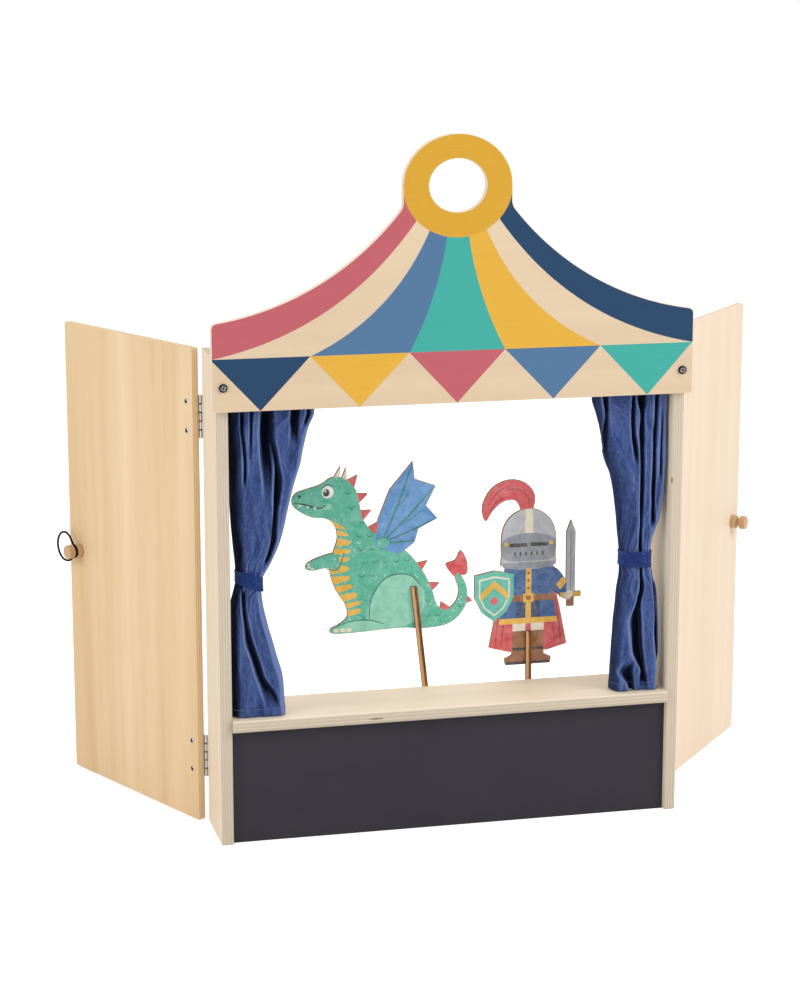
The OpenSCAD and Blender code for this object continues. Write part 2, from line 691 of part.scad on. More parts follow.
// Both figures are drawn at these heights, and reach this far sideways to their neighbour
dragon_drawn_h = 176;
dragon_drawn_reach = 98;
knight_drawn_h = 198;
knight_drawn_reach = 58;
dragon_scale = dragon_h / dragon_drawn_h;
knight_scale = knight_h / knight_drawn_h;
dragon_z = shelf_z + dragon_rise;
knight_z = shelf_z + knight_rise;
knight_x = dragon_x + dragon_drawn_reach * dragon_scale + puppet_gap
  + knight_drawn_reach * knight_scale;

module figure(x, z, size) {
  translate([x, 0, z]) upright(figure_y, figure_t)
    offset(figure_round, $fn = 16) scale(size) children();
}

// The dragon sits and looks left. Points are from the middle of its feet, in X and Z.
dragon_body = [[-50, 0], [-20, 0], [20, 2], [48, 0], [74, 4], [90, 20], [92, 40], [84, 56],
  [80, 52], [84, 38], [80, 25], [70, 18], [60, 24], [54, 42], [44, 62], [28, 82], [8, 95],
  [-8, 105], [-18, 118], [-22, 134], [-26, 150], [-36, 161], [-50, 164], [-62, 157],
  [-76, 153], [-88, 149], [-92, 141], [-88, 133], [-72, 124], [-58, 122], [-48, 114],
  [-45, 100], [-50, 84], [-53, 66], [-47, 46], [-37, 30], [-35, 17], [-44, 9], [-52, 5]];
dragon_paw = [[-46, 84], [-62, 82], [-76, 76], [-78, 70], [-70, 68], [-58, 70], [-44, 68]];
dragon_wing = [[-6, 90], [-2, 118], [10, 148], [34, 176], [36, 158], [58, 150], [48, 130],
  [60, 116], [40, 106], [36, 92], [20, 80]];
dragon_tail_tip = [[80, 52], [70, 66], [80, 70], [86, 80], [92, 68], [92, 56], [86, 54]];
// Spikes down the neck and the back: place and turn, then the horns
dragon_spikes = [[-30, 158, 40], [-22, 142, 70], [-18, 124, 65], [-8, 108, 40],
  [42, 66, 55], [54, 44, 70], [68, 20, 100], [91, 28, -20]];
dragon_horns = [[-46, 163, 20], [-38, 161, 10]];

spike_root = 4;

module spike(p, w, h) {
  translate([p[0], p[1]]) rotate(-p[2])
    polygon([[-w, -spike_root], [w, -spike_root], [0, h]]);
}

module dragon_outline() {
  polygon(smooth(dragon_body, 4));
  polygon(smooth(dragon_paw, 3));
  polygon(dragon_wing);
  polygon(smooth(dragon_tail_tip, 3));
  for (p = dragon_spikes) spike(p, 6, 9);
  for (p = dragon_horns) spike(p, 3.5, 12);
}

module dragon_figure() {
  color("mediumaquamarine") figure(dragon_x, dragon_z, dragon_scale) dragon_outline();
}

// The knight stands with its visor down. Points are from the middle of its soles.
knight_cape = [[-22, 108], [22, 108], [34, 60], [42, 20], [20, 14], [0, 18], [-20, 14],
  [-42, 20], [-34, 60]];
knight_tunic = [[-25, 108], [25, 108], [27, 72], [32, 44], [-32, 44], [-27, 72]];
knight_boot = [[2, 0], [24, 0], [25, 6], [17, 10], [17, 46], [3, 46]];
knight_helmet = [[-25, 104], [25, 104], [29, 118], [29, 140], [24, 154], [14, 163], [0, 167],
  [-14, 163], [-24, 154], [-29, 140], [-29, 118]];
knight_plume = [[2, 162], [6, 180], [-4, 194], [-22, 198], [-40, 190], [-50, 172], [-47, 156],
  [-40, 166], [-28, 176], [-14, 176], [-6, 162]];
knight_arm = [[18, 106], [32, 100], [42, 86], [49, 76], [44, 67], [34, 72], [22, 84]];
knight_sword = [[35, 70], [42.5, 70], [42.5, 60], [49.5, 60], [49.5, 70], [57, 70], [57, 75],
  [50.5, 75], [50.5, 140], [46, 152], [41.5, 140], [41.5, 75], [35, 75]];
knight_shield = [[-58, 98], [-37, 102], [-16, 98], [-16, 74], [-24, 58], [-37, 48], [-50, 58],
  [-58, 74]];

module knight_outline() {
  polygon(knight_cape);
  polygon(knight_tunic);
  polygon(knight_boot);
  mirror([1, 0]) polygon(knight_boot);
  polygon(smooth(knight_helmet, 3));
  polygon(smooth(knight_plume, 3));
  polygon(smooth(knight_arm, 3));
  polygon(knight_sword);
  polygon(knight_shield);
}

module knight_figure() {
  color("steelblue") figure(knight_x, knight_z, knight_scale) knight_outline();
}

// A straight stick from its foot to its top, both given in X and Z
module stick(foot, top) {
  side = [stick_w / 2, 0];
  upright(stick_y, stick_t) polygon([foot - side, foot + side, top + side, top - side]);
}

// Each stick's top lies here in its figure, and its foot this far to the right of the top
dragon_grip = [35, 45];
dragon_lean = 27;
knight_grip = [0, 36];
knight_lean = 1;
dragon_stick_top = [dragon_x, dragon_z] + dragon_scale * dragon_grip;
dragon_stick_foot = [dragon_stick_top[0] + dragon_lean, stick_foot_z];
knight_stick_top = [knight_x, knight_z] + knight_scale * knight_grip;
knight_stick_foot = [knight_stick_top[0] + knight_lean, stick_foot_z];

module dragon_stick() { color(wood) stick(dragon_stick_foot, dragon_stick_top); }
module knight_stick() { color(wood) stick(knight_stick_foot, knight_stick_top); }

left_side_panel();
right_side_panel();
stage_shelf();
shelf_dowels();
chalkboard();
pediment_board();
pediment_screws();
curtain_rod();
left_curtain();
right_curtain();
left_tieback();
right_tieback();
left_door();
right_door();
left_upper_hinge_frame_leaf();
left_lower_hinge_frame_leaf();
right_upper_hinge_frame_leaf();
right_lower_hinge_frame_leaf();
left_upper_hinge_door_leaf();
left_lower_hinge_door_leaf();
right_upper_hinge_door_leaf();
right_lower_hinge_door_leaf();
left_upper_hinge_pin();
left_lower_hinge_pin();
right_upper_hinge_pin();
right_lower_hinge_pin();
left_hinge_screws();
right_hinge_screws();
left_door_rivets();
right_door_rivets();
left_knob();
right_knob();
left_knob_screw();
right_knob_screw();
elastic_loop();
dragon_figure();
dragon_stick();
knight_figure();
knight_stick();
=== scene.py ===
"""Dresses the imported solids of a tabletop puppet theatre. Lengths in the tables are in millimetres."""

import json
import math
from contextlib import contextmanager

import bmesh
import bpy
import numpy as np
from bpy.props import FloatProperty, FloatVectorProperty, IntProperty, PointerProperty
from mathutils import Matrix, Vector, geometry


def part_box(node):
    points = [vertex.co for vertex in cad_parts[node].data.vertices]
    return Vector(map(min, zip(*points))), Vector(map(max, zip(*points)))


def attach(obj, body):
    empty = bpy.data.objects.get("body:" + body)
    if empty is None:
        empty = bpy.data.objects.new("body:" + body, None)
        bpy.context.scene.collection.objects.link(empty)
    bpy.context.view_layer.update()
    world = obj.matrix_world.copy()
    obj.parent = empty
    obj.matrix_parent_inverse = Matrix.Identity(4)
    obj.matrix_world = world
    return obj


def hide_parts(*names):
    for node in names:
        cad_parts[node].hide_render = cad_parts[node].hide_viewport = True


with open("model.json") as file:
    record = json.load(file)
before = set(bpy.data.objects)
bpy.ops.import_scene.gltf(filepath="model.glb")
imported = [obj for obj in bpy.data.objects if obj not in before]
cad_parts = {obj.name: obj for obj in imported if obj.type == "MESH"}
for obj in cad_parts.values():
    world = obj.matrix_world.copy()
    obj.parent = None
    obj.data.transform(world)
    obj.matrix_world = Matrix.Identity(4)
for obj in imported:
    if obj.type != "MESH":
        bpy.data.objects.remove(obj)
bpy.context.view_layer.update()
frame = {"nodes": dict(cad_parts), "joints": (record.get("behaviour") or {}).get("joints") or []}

bl_info = {
    "name": "Tabletop puppet theatre",
    "version": (1, 0, 0),
    "blender": (4, 5, 0),
    "location": "3D View > Sidebar > Theatre",
    "description": "Dresses the solids of a puppet theatre with wood, paint, velvet and prints",
    "category": "Object",
}

MM = 0.001


def linear(red, green, blue):
    """The linear colour of one written in sRGB, 0 to 255."""
    shares = [c / 255 for c in (red, green, blue)]
    return tuple(c / 12.92 if c <= 0.04045 else ((c + 0.055) / 1.055) ** 2.4 for c in shares) + (1,)


def colour(name, description, *srgb):
    return FloatVectorProperty(name=name, description=description, subtype="COLOR", size=4,
                               min=0, max=1, default=linear(*srgb))


def length(name, description, millimetres):
    return FloatProperty(name=name, description=description, default=millimetres * MM, min=0,
                         unit="LENGTH", subtype="DISTANCE", precision=5)


class TheatreSizes(bpy.types.PropertyGroup):
    """Sizes of what is added to the solids"""

    board_edge: length("Board edge", "Rounding of the boards' sawn edges", 0.7)
    panel_edge: length("Panel edge", "Rounding of the side panels' edges", 1.0)
    paint_depth: length("Paint depth", "Thickness of the coats of paint and print", 0.08)
    paint_rim: length("Paint rim", "Bare rim round the painted fields", 0.6)
    cloth: length("Cloth", "Thickness of the curtains' velvet", 1.0)
    hem: length("Hem", "Height of the curtains' hem", 9)
    stitch: length("Stitch", "Length of one stitch", 2.2)
    stitch_pitch: length("Stitch spacing", "Distance from one stitch to the next", 3.2)
    rib: length("Rib", "Height of one rib of the tieback's band", 1.6)
    layer: length("Ply", "Thickness of two plies of the plywood", 2.7)
    seed: IntProperty(name="Seed", description="Start of all random turns", default=11)


class TheatreColours(bpy.types.PropertyGroup):
    """Colours of the finishes"""

    tan: colour("Tan wood", "Light grain of the left door", 245, 217, 177)
    tan_dark: colour("Tan wood, dark", "Dark grain of the left door", 223, 187, 139)
    pale: colour("Pale wood", "Light grain of the right door", 243, 223, 200)
    pale_dark: colour("Pale wood, dark", "Dark grain of the right door", 234, 211, 184)
    birch: colour("Birch", "Light grain of the box", 242, 224, 198)
    birch_dark: colour("Birch, dark", "Dark grain of the box", 230, 209, 180)
    shelf: colour("Shelf wood", "Light grain of the shelf", 250, 234, 211)
    shelf_dark: colour("Shelf wood, dark", "Dark grain of the shelf", 240, 221, 195)
    tent: colour("Tent wood", "Light bare wood of the pediment", 235, 212, 181)
    tent_dark: colour("Tent wood, dark", "Dark bare wood of the pediment", 223, 198, 166)
    ply: colour("Ply", "Light plies along the edges", 222, 208, 188)
    ply_dark: colour("Ply, dark", "Dark plies along the edges", 197, 180, 157)
    slate: colour("Chalkboard", "Matt black of the chalkboard", 56, 54, 61)
    rose: colour("Rose", "Rose paint", 198, 100, 110)
    navy: colour("Navy", "Navy paint", 34, 68, 102)
    blue: colour("Blue", "Mid-blue paint", 84, 121, 160)
    teal: colour("Teal", "Teal paint", 68, 176, 165)
    yellow: colour("Yellow", "Yellow paint", 234, 180, 66)
    amber: colour("Amber", "Paint of the ring", 222, 169, 54)
    velvet: colour("Velvet", "Pile of the curtains", 53, 77, 140)
    band: colour("Band", "Cloth of the tiebacks", 24, 55, 132)
    beech: colour("Beech", "Turned knobs", 214, 174, 130)
    elastic: colour("Elastic", "Braided cover of the loop", 12, 12, 14)
    steel: colour("Steel", "Plated hinges and fixings", 190, 192, 195)
    burnt: colour("Burnt edge", "Edges that a laser cut", 92, 54, 30)


class TheatreStage(bpy.types.PropertyGroup):
    """Camera and light"""

    camera: FloatVectorProperty(name="Camera", description="Place of the camera", unit="LENGTH",
                                subtype="XYZ", default=(-0.65387, -2.44143, 0.88219))
    forward: FloatVectorProperty(name="Direction", description="Direction in which the camera looks",
                                 subtype="DIRECTION", default=(0.2333, 0.9496, -0.2093))
    lens: FloatProperty(name="Lens", description="Focal length", default=92.85, unit="CAMERA")
    key: FloatProperty(name="Key light", description="Power of the key light", default=46,
                       unit="POWER")
    fill: FloatProperty(name="Fill light", description="Power of the fill light", default=34,
                        unit="POWER")
    air: FloatProperty(name="Air light", description="Strength of the even light", default=0.54)


def panel_values(context):
    """The sizes and the colours that the panel shows."""
    return context.scene.theatre_sizes, context.scene.theatre_colours


# Meshes. In degrees: a bevel starts at the first angle, and edges of boards and of turned pieces
# are hard from the others on.

BEVELLED, HARD_SAWN, HARD_TURNED = 50, 40, 38


@contextmanager
def edited(piece):
    """A piece's mesh, open to be changed and then put back."""
    shell = bmesh.new()
    shell.from_mesh(piece.data)
    yield shell
    shell.to_mesh(piece.data)
    shell.free()


def mesh_object(name, points, faces, finishes=(), uvs=None, smooth=False):
    """An object at the origin with its place in its mesh. Points are in metres."""
    mesh = bpy.data.meshes.new(name)
    mesh.from_pydata([tuple(p) for p in points], [], [tuple(f) for f in faces])
    for finish in finishes:
        mesh.materials.append(finish)
    mesh.polygons.foreach_set("use_smooth", np.full(len(mesh.polygons), smooth))
    if uvs is not None:
        layer = mesh.uv_layers.new(name="board")
        corner = np.zeros(len(mesh.loops), np.int32)
        mesh.loops.foreach_get("vertex_index", corner)
        layer.data.foreach_set("uv", np.array(uvs, np.float32)[corner].ravel())
    piece = bpy.data.objects.new(name, mesh)
    bpy.context.scene.collection.objects.link(piece)
    return piece


def settled(piece):
    """Makes what the piece's modifiers show its own mesh."""
    depsgraph = bpy.context.evaluated_depsgraph_get()
    made = bpy.data.meshes.new_from_object(piece.evaluated_get(depsgraph), depsgraph=depsgraph,
                                           preserve_all_data_layers=True)
    piece.modifiers.clear()
    old, piece.data = piece.data, made
    made.name = old.name
    bpy.data.meshes.remove(old)
    return piece


def outward(piece, merge=1e-6):
    """Merges doubles and turns all faces of a closed mesh outwards."""
    with edited(piece) as shell:
        bmesh.ops.remove_doubles(shell, verts=shell.verts, dist=merge)
        bmesh.ops.recalc_face_normals(shell, faces=shell.faces)
    return piece


def crease(piece, degrees):
    """Hard edges where the faces turn by more than this."""
    with edited(piece) as shell:
        for edge in shell.edges:
            edge.smooth = edge.calc_face_angle(0) < math.radians(degrees)
    return piece


def grid(rows, columns, closed=False):
    """The faces between rows of points; closed rows go all the way round."""
    return [(r * columns + c, r * columns + (c + 1) % columns,
             (r + 1) * columns + (c + 1) % columns, (r + 1) * columns + c)
            for r in range(rows - 1) for c in range(columns if closed else columns - 1)]


def prism(name, points, faces, at, depth):
    """A slab from drawn points and the faces between them; at(u, v, w) places a point."""
    count = len(points)
    front = [at(u, v, 0) for u, v in points]
    back = [at(u, v, depth) for u, v in points]
    edges = dict.fromkeys(edge for face in faces for edge in zip(face, face[1:] + face[:1]))
    rims = [(a, b) for a, b in edges if (b, a) not in edges]
    made = [list(f) for f in faces] + [[i + count for i in reversed(f)] for f in faces]
    made += [[b, a, a + count, b + count] for a, b in rims]
    return mesh_object(name, front + back, made)


def halves(outline, hole):
    """The two faces, right and left of the middle line, of an outline with a hole."""
    n, h = len(outline), len(hole)
    top = max(range(n), key=lambda i: (outline[i][1], -abs(outline[i][0])))
    hole_top = max(range(h), key=lambda i: (hole[i][1], -abs(hole[i][0])))
    right = list(range(top + 1)) + [n + i for i in range(hole_top, -1, -1)]
    left = [0, n] + [n + i for i in range(h - 1, hole_top - 1, -1)] + list(range(top, n))
    return [right, left]


def board(name, outline, at, depth, edge, thin, grain, shift, finishes, hole=()):
    """A sawn board with rounded edges, mapped, with a finish for its faces and one for its edges.
    The outline runs anticlockwise, in millimetres; a hole does too, and then both start at the
    lowest point of the middle line."""
    faces = halves(outline, hole) if hole else [list(range(len(outline)))]
    piece = outward(prism(name, outline + list(hole), faces, at, depth))
    bevel = piece.modifiers.new("edge", "BEVEL")
    bevel.width, bevel.segments = edge, 3
    bevel.limit_method, bevel.angle_limit = "ANGLE", math.radians(BEVELLED)
    grain_map(settled(piece), thin, grain, shift)
    for finish in finishes:
        piece.data.materials.append(finish)
    return piece


def grain_map(piece, thin, grain, shift):
    """Gives a board its UV map, in metres, and slot 0 to its faces and slot 1 to its sawn edges.
    Faces have V along the grain; edges have U along the edge and V through the thickness."""
    thin, grain = Vector(thin).normalized(), Vector(grain).normalized()
    across = thin.cross(grain)
    mesh = piece.data
    layer = mesh.uv_layers.new(name="board")
    for face in mesh.polygons:
        flat = abs(face.normal.dot(thin)) > 0.75
        face.material_index = 0 if flat else 1
        face.use_smooth = not flat
        for i in face.loop_indices:
            p = mesh.vertices[mesh.loops[i].vertex_index].co
            if flat:
                layer.data[i].uv = (p.dot(across) + shift[0], p.dot(grain) + shift[1])
            else:
                layer.data[i].uv = (p.dot(across) + p.dot(grain), p.dot(thin) + shift[0])
    crease(piece, HARD_SAWN)


def lathe(name, profile, at, steps):
    """Turns a profile of (radius, height) points, from the axis to the axis, about the height."""
    points, uvs, faces, rows = [], [], [], []
    run = 0
    for i, (r, h) in enumerate(profile):
        if i:
            run += math.hypot(r - profile[i - 1][0], h - profile[i - 1][1])
        if r < 1e-9:
            rows.append([len(points)] * (steps + 1))
            points.append(at(0, 0, h))
            uvs.append((0.5 * run, run))
            continue
        rows.append(list(range(len(points), len(points) + steps + 1)))
        for k in range(steps + 1):
            a = 2 * math.pi * k / steps
            points.append(at(r * math.cos(a), r * math.sin(a), h))
            uvs.append((a * 7, run))
    for low, high in zip(rows, rows[1:]):
        for k in range(steps):
            faces.append(list(dict.fromkeys([low[k], low[k + 1], high[k + 1], high[k]])))
    piece = mesh_object(name, points, faces, uvs=np.array(uvs) * MM, smooth=True)
    return crease(outward(piece, 1e-7), HARD_TURNED)


# Drawing, in millimetres

def smooth_steps(a, b, c, d, steps):
    """Points from each b to its c, on curves through a, b, c and d."""
    rows = [0.5 * (2 * b + (c - a) * t + (2 * a - 5 * b + 4 * c - d) * t * t
                   + (3 * b - a - 3 * c + d) * t ** 3) for t in np.arange(steps) / steps]
    return np.stack(rows, 1).reshape(-1, b.shape[1])


def smooth_loop(points, steps):
    """A closed curve through the points, with this many steps from each to the next."""
    p = np.array(points, float)
    rows = smooth_steps(np.roll(p, 1, 0), p, np.roll(p, -1, 0), np.roll(p, -2, 0), steps)
    return [tuple(q) for q in rows]


def smooth_run(points, steps):
    """An open curve through the points."""
    p = np.array(points, float)
    ends = np.concatenate([[2 * p[0] - p[1]], p, [2 * p[-1] - p[-2]]])
    return np.vstack([smooth_steps(ends[:-3], ends[1:-2], ends[2:-1], ends[3:], steps), p[-1:]])


def run_along(line):
    """The way covered at each point of a line."""
    return np.concatenate([[0], np.cumsum(np.linalg.norm(np.diff(line, axis=0), axis=1))])


def left_of(way):
    """Unit directions to the left of these ways in a plane."""
    way = way / np.linalg.norm(way, axis=1)[:, None]
    return np.stack([-way[:, 1], way[:, 0]], 1)


def beside(line):
    """The unit direction to the left at each point of a line."""
    return left_of(np.gradient(line, axis=0))


def ellipse(x, z, rx, rz, steps):
    angles = [math.radians(360 * k / steps - 90) for k in range(steps)]
    return [(x + rx * math.cos(a), z + rz * math.sin(a)) for a in angles]


def arc(x, z, r, first, last, steps):
    angles = [math.radians(first + (last - first) * k / steps) for k in range(steps + 1)]
    return [(x + r * math.cos(a), z + r * math.sin(a)) for a in angles]


def rectangle(u0, v0, u1, v1, r):
    return (arc(u1 - r, v0 + r, r, -90, 0, 5) + arc(u1 - r, v1 - r, r, 0, 90, 5)
            + arc(u0 + r, v1 - r, r, 90, 180, 5) + arc(u0 + r, v0 + r, r, 180, 270, 5))


def stroke(points, width):
    """The outline of a drawn line that narrows towards both ends."""
    p = smooth_run(points, 4)
    swell = 0.35 + 0.65 * np.sin(np.pi * np.linspace(0, 1, len(p))) ** 0.5
    side = beside(p) * (width / 2 * swell)[:, None]
    return [tuple(q) for q in p + side] + [tuple(q) for q in (p - side)[::-1]]


def flipped(points):
    return [(-x, z) for x, z in points]


def anticlockwise(outline):
    area = sum(a[0] * b[1] - b[0] * a[1] for a, b in zip(outline, outline[1:] + outline[:1]))
    return list(outline) if area > 0 else list(reversed(outline))


def coat(name, fields, at, depth, finishes):
    """A thin coat in one plane. Fields are (key, outline, finish, inside), the last on top: finish
    is a number in finishes, or None for bare, and inside is the key of the fields it stays in."""
    points, faces = [], []
    for _, outline, _, _ in fields:
        turned_left = anticlockwise([tuple(p) for p in outline])
        faces.append(list(range(len(points), len(points) + len(turned_left))))
        points += [Vector(p) for p in turned_left]
    flat, _, parts, _, _, origins = geometry.delaunay_2d_cdt(points, [], faces, 1, 1e-5, True)
    kept, picks, rim = [], [], {}
    for part, over in zip(parts, origins):
        keys = {fields[i][0] for i in over}
        top = [i for i in over if fields[i][3] is None or fields[i][3] in keys]
        pick = fields[max(top)][2] if top else None
        if pick is not None:
            kept.append(list(part))
            picks.append(pick)
            rim.update({edge: pick for edge in zip(part, part[1:] + part[:1])})
    piece = prism(name, [tuple(p) for p in flat], kept, at, depth)
    mesh = piece.data
    for finish in finishes:
        mesh.materials.append(finish)
    sides = [rim[(face.vertices[1], face.vertices[0])]
             for face in list(mesh.polygons)[2 * len(kept):]]
    mesh.polygons.foreach_set("material_index", np.array(picks + picks + sides, np.int32))
    with edited(piece) as shell:
        loose = [v for v in shell.verts if not v.link_faces]
        bmesh.ops.delete(shell, geom=loose, context="VERTS")
        bmesh.ops.recalc_face_normals(shell, faces=shell.faces)
    return piece


# Finishes

def add(tree, kind, inputs=None, **settings):
    """A new node, with settings, and with inputs that are values or what other nodes give."""
    node = tree.nodes.new(kind)
    for key, value in settings.items():
        setattr(node, key, value)
    for key, value in (inputs or {}).items():
        value = value.socket if isinstance(value, Flow) else value
        if isinstance(value, bpy.types.NodeSocket):
            tree.links.new(value, node.inputs[key])
        else:
            node.inputs[key].default_value = value
    return node


class Flow:
    """What a node gives, with arithmetic and the steps that the finishes share."""

    def __init__(self, tree, socket):
        self.tree, self.socket = tree, socket

    def then(self, kind, inputs, output=0, **settings):
        return Flow(self.tree, add(self.tree, kind, inputs, **settings).outputs[output])

    def sums(self, operation, other=0.0):
        return self.then("ShaderNodeMath", {0: self, 1: other}, operation=operation)

    def __add__(self, other):
        return self.sums("ADD", other)

    def __sub__(self, other):
        return self.sums("SUBTRACT", other)

    def __mul__(self, other):
        return self.sums("MULTIPLY", other)

    def __truediv__(self, other):
        return self.sums("DIVIDE", other)

    def __abs__(self):
        return self.sums("ABSOLUTE")

    def sine(self):
        return self.sums("SINE")

    def vector(self, operation, other=(0, 0, 0), output=0):
        return self.then("ShaderNodeVectorMath", {0: self, 1: other}, output, operation=operation)

    def part(self, number):
        """X, Y or Z of a vector."""
        return self.then("ShaderNodeSeparateXYZ", {0: self}, number)

    def between(self, low, high, start=0.0, end=1.0):
        """From start to end while this goes from low to high."""
        return self.then("ShaderNodeMapRange", {"Value": self, "From Min": low, "From Max": high,
                                                "To Min": start, "To Max": end})

    def mix(self, a, b):
        """Colour a where this is 0 and b where it is 1."""
        return self.then("ShaderNodeMix", {0: self, 6: a, 7: b}, 2, data_type="RGBA")

    def stretch(self, *scale):
        return self.then("ShaderNodeMapping", {"Vector": self, "Scale": scale})

    def noise(self, scale, detail=2.0, rough=0.5, distortion=0.0):
        return self.then("ShaderNodeTexNoise", {"Vector": self, "Scale": scale, "Detail": detail,
                                                "Roughness": rough, "Distortion": distortion})

    def bump(self, distance, strength):
        return self.then("ShaderNodeBump", {"Height": self, "Distance": distance,
                                            "Strength": strength})


class Finish:
    """A material in the making, with these values on its shader's own sockets."""

    def __init__(self, name, **values):
        self.made = bpy.data.materials.new(name)
        self.made.use_nodes = True
        self.tree = self.made.node_tree
        self.shader = self.tree.nodes["Principled BSDF"]
        for key, value in values.items():
            self.shader.inputs[key.replace("_", " ")].default_value = value

    def at(self, which):
        return Flow(self.tree, add(self.tree, "ShaderNodeTexCoord").outputs[which])

    def marked(self, name):
        """A number that the mesh keeps at its points."""
        node = add(self.tree, "ShaderNodeAttribute", attribute_name=name)
        return Flow(self.tree, node.outputs["Fac"])

    def done(self, **flows):
        for key, flow in flows.items():
            self.tree.links.new(flow.socket, self.shader.inputs[key.replace("_", " ")])
        return self.made


def darker(tone, share):
    return tuple(c * share for c in tone[:3]) + (1,)


def blend_of(a, b, share):
    return tuple(x + (y - x) * share for x, y in zip(a, b))


def grain(where, light, dark):
    """Colour, fibre and streaks of straight-grained wood, along what the vector was squeezed in."""
    broad = where.noise(13, 2, 0.55, 0.7)
    streak = where.noise(120, 4, 0.6, 0.4)
    fibre = where.noise(900, 3, 0.7)
    figure = where.then("ShaderNodeTexWave", {"Vector": where, "Scale": 9.0, "Distortion": 6.0,
                                              "Detail": 3.0, "Detail Scale": 1.4}, 1)
    tone = broad * 1.1 + figure * 0.09 + streak * 0.3 + fibre * 0.22
    return tone.between(0.55, 1.1).mix(light, dark), fibre, streak


def knot(place, tone, centre, reach):
    """Darkens the colour round a knot: its centre and half lengths are in millimetres."""
    off = place.vector("SUBTRACT", [c * MM for c in centre])
    away = off.vector("DIVIDE", [r * MM for r in reach]).vector("LENGTH", output=1)
    near = (away + place.noise(700) * 0.5).between(0.7, 1.35, 0.9, 0)
    return near.mix(tone, linear(104, 66, 42))


def veneer(name, light, dark, flecks=0.0, which="UV", squeeze=(1, 0.05, 1), sheen=0.26):
    """The clear-coated face of plywood or of solid wood, with pores and flecks."""
    finish = Finish(name, Specular_IOR_Level=sheen)
    where = finish.at(which)
    tone, fibre, streak = grain(where.stretch(*squeeze), light, dark)
    short = [1 if share == 1 else share * 2 for share in squeeze]
    pores = where.stretch(*short).noise(1500, 2, 0.6).between(0.62, 0.72)
    tone = (pores * 0.2).mix(tone, darker(dark, 0.7))
    if flecks:
        cell = add(finish.tree, "ShaderNodeTexVoronoi", {"Vector": where.stretch(1, 0.28, 1),
                                                         "Scale": 62.0})
        spot = Flow(finish.tree, cell.outputs["Distance"]).between(0.03, 0.075, 1, 0)
        chosen = spot.then("ShaderNodeSeparateColor", {0: cell.outputs["Color"]})
        tone = (spot * chosen.between(0.8, 0.82) * flecks).mix(tone, linear(160, 118, 76))
    return finish.done(Base_Color=tone, Roughness=streak.between(0.2, 0.8, 0.46, 0.6),
                       Normal=fibre.bump(0.00012, 0.3))


def plies(name, light, dark, pitch, knots=()):
    """Sawn plywood edges: long plies and end-grain plies in turn, with thin glue lines."""
    finish = Finish(name, Specular_IOR_Level=0.2)
    where = finish.at("UV")
    waver = where.stretch(1, 0, 0).noise(11, 2)
    wave = ((where.part(1) / pitch + waver * 0.3) * (2 * math.pi)).sine()
    ply = wave.between(-0.5, 0.5)
    streaks = where.stretch(0.04, 1, 1).noise(1100, 3, 0.6)
    ends = where.stretch(1, 0.5, 1).noise(1500, 2, 0.7)
    long = streaks.between(0.3, 0.75).mix(light, darker(light, 0.88))
    short = ends.between(0.35, 0.7).mix(blend_of(light, dark, 0.4), dark)
    tone = abs(wave).between(0.0, 0.14, 0.3, 0).mix(ply.mix(long, short), darker(dark, 0.6))
    for centre, reach in knots:
        tone = knot(finish.at("Object"), tone, centre, reach)
    return finish.done(Base_Color=tone, Roughness=ply.between(0, 1, 0.55, 0.74),
                       Normal=(ply * -0.5 + ends * 0.5).bump(0.00015, 0.35))


def paint(name, tone):
    """Satin paint on wood, with the grain just showing through."""
    finish = Finish(name, Specular_IOR_Level=0.22)
    where = finish.at("Object").stretch(0.05, 1, 1)
    fibre = where.noise(520, 4, 0.65)
    return finish.done(Base_Color=fibre.between(0.3, 0.75, 0, 0.32).mix(tone, darker(tone, 0.84)),
                       Roughness=where.noise(30, 3).between(0.2, 0.8, 0.48, 0.62),
                       Normal=fibre.bump(0.0001, 0.3))


def slate(name, tone):
    """Matt chalkboard paint with rolled-on grain and faint wiped dust."""
    finish = Finish(name, Specular_IOR_Level=0.16)
    where = finish.at("Object")
    wiped = where.stretch(0.35, 1, 1).noise(16, 5, 0.6, 0.8)
    speck = where.noise(1300, 2, 0.6)
    dusty = wiped.between(0.4, 0.8, 0, 0.02).mix(tone, (0.5, 0.5, 0.52, 1))
    return finish.done(Base_Color=speck.between(0.35, 0.75, 0, 0.35).mix(dusty, darker(tone, 0.7)),
                       Roughness=wiped.between(0.2, 0.8, 0.66, 0.8), Normal=speck.bump(0.00015, 0.5))


def off_centre(place, centre, along):
    """How far a place is from a centre or from its mirror image, along the ways that are 1."""
    folded = place.vector("ABSOLUTE")
    off = folded.vector("SUBTRACT", [c * MM for c in centre])
    return off.stretch(*along).vector("LENGTH", output=1)


def metal(name, tone, rough, brushed=(1, 1, 1), gaps=()):
    """Steel, brushed and spotted, with painted shade: black in marked recesses and in a hinge's gaps at
    these heights.
    """
    finish = Finish(name, Metallic=1.0)
    where = finish.at("Object")
    brush = where.stretch(*brushed).noise(1500, 3, 0.6)
    tone = where.noise(240, 3).between(0.35, 0.75, 0, 0.35).mix(tone, darker(tone, 0.62))
    # Painted shade: black where a piece marks its recess
    tone = finish.marked("soil").between(0.2, 0.8).mix(tone, (0.012, 0.011, 0.011, 1))
    # Painted shade: dark bands on the hinge's barrel where its knuckles meet
    if gaps:
        height = where.part(2)
        rolled = off_centre(where, (*HINGE["right_door_set"][:2], 0), (1, 1, 0))
        rolled = rolled.between(1.7 * MM, 1.9 * MM, 1, 0)
    for gap in gaps:
        near = abs(height - gap * MM).between(0.5 * MM, 0.9 * MM, 1, 0)
        tone = (near * rolled).mix(tone, (0.02, 0.018, 0.018, 1))
    return finish.done(Base_Color=tone, Normal=brush.bump(0.00005, 0.3),
                       Roughness=brush.between(0.2, 0.8, rough - 0.1, rough + 0.14))


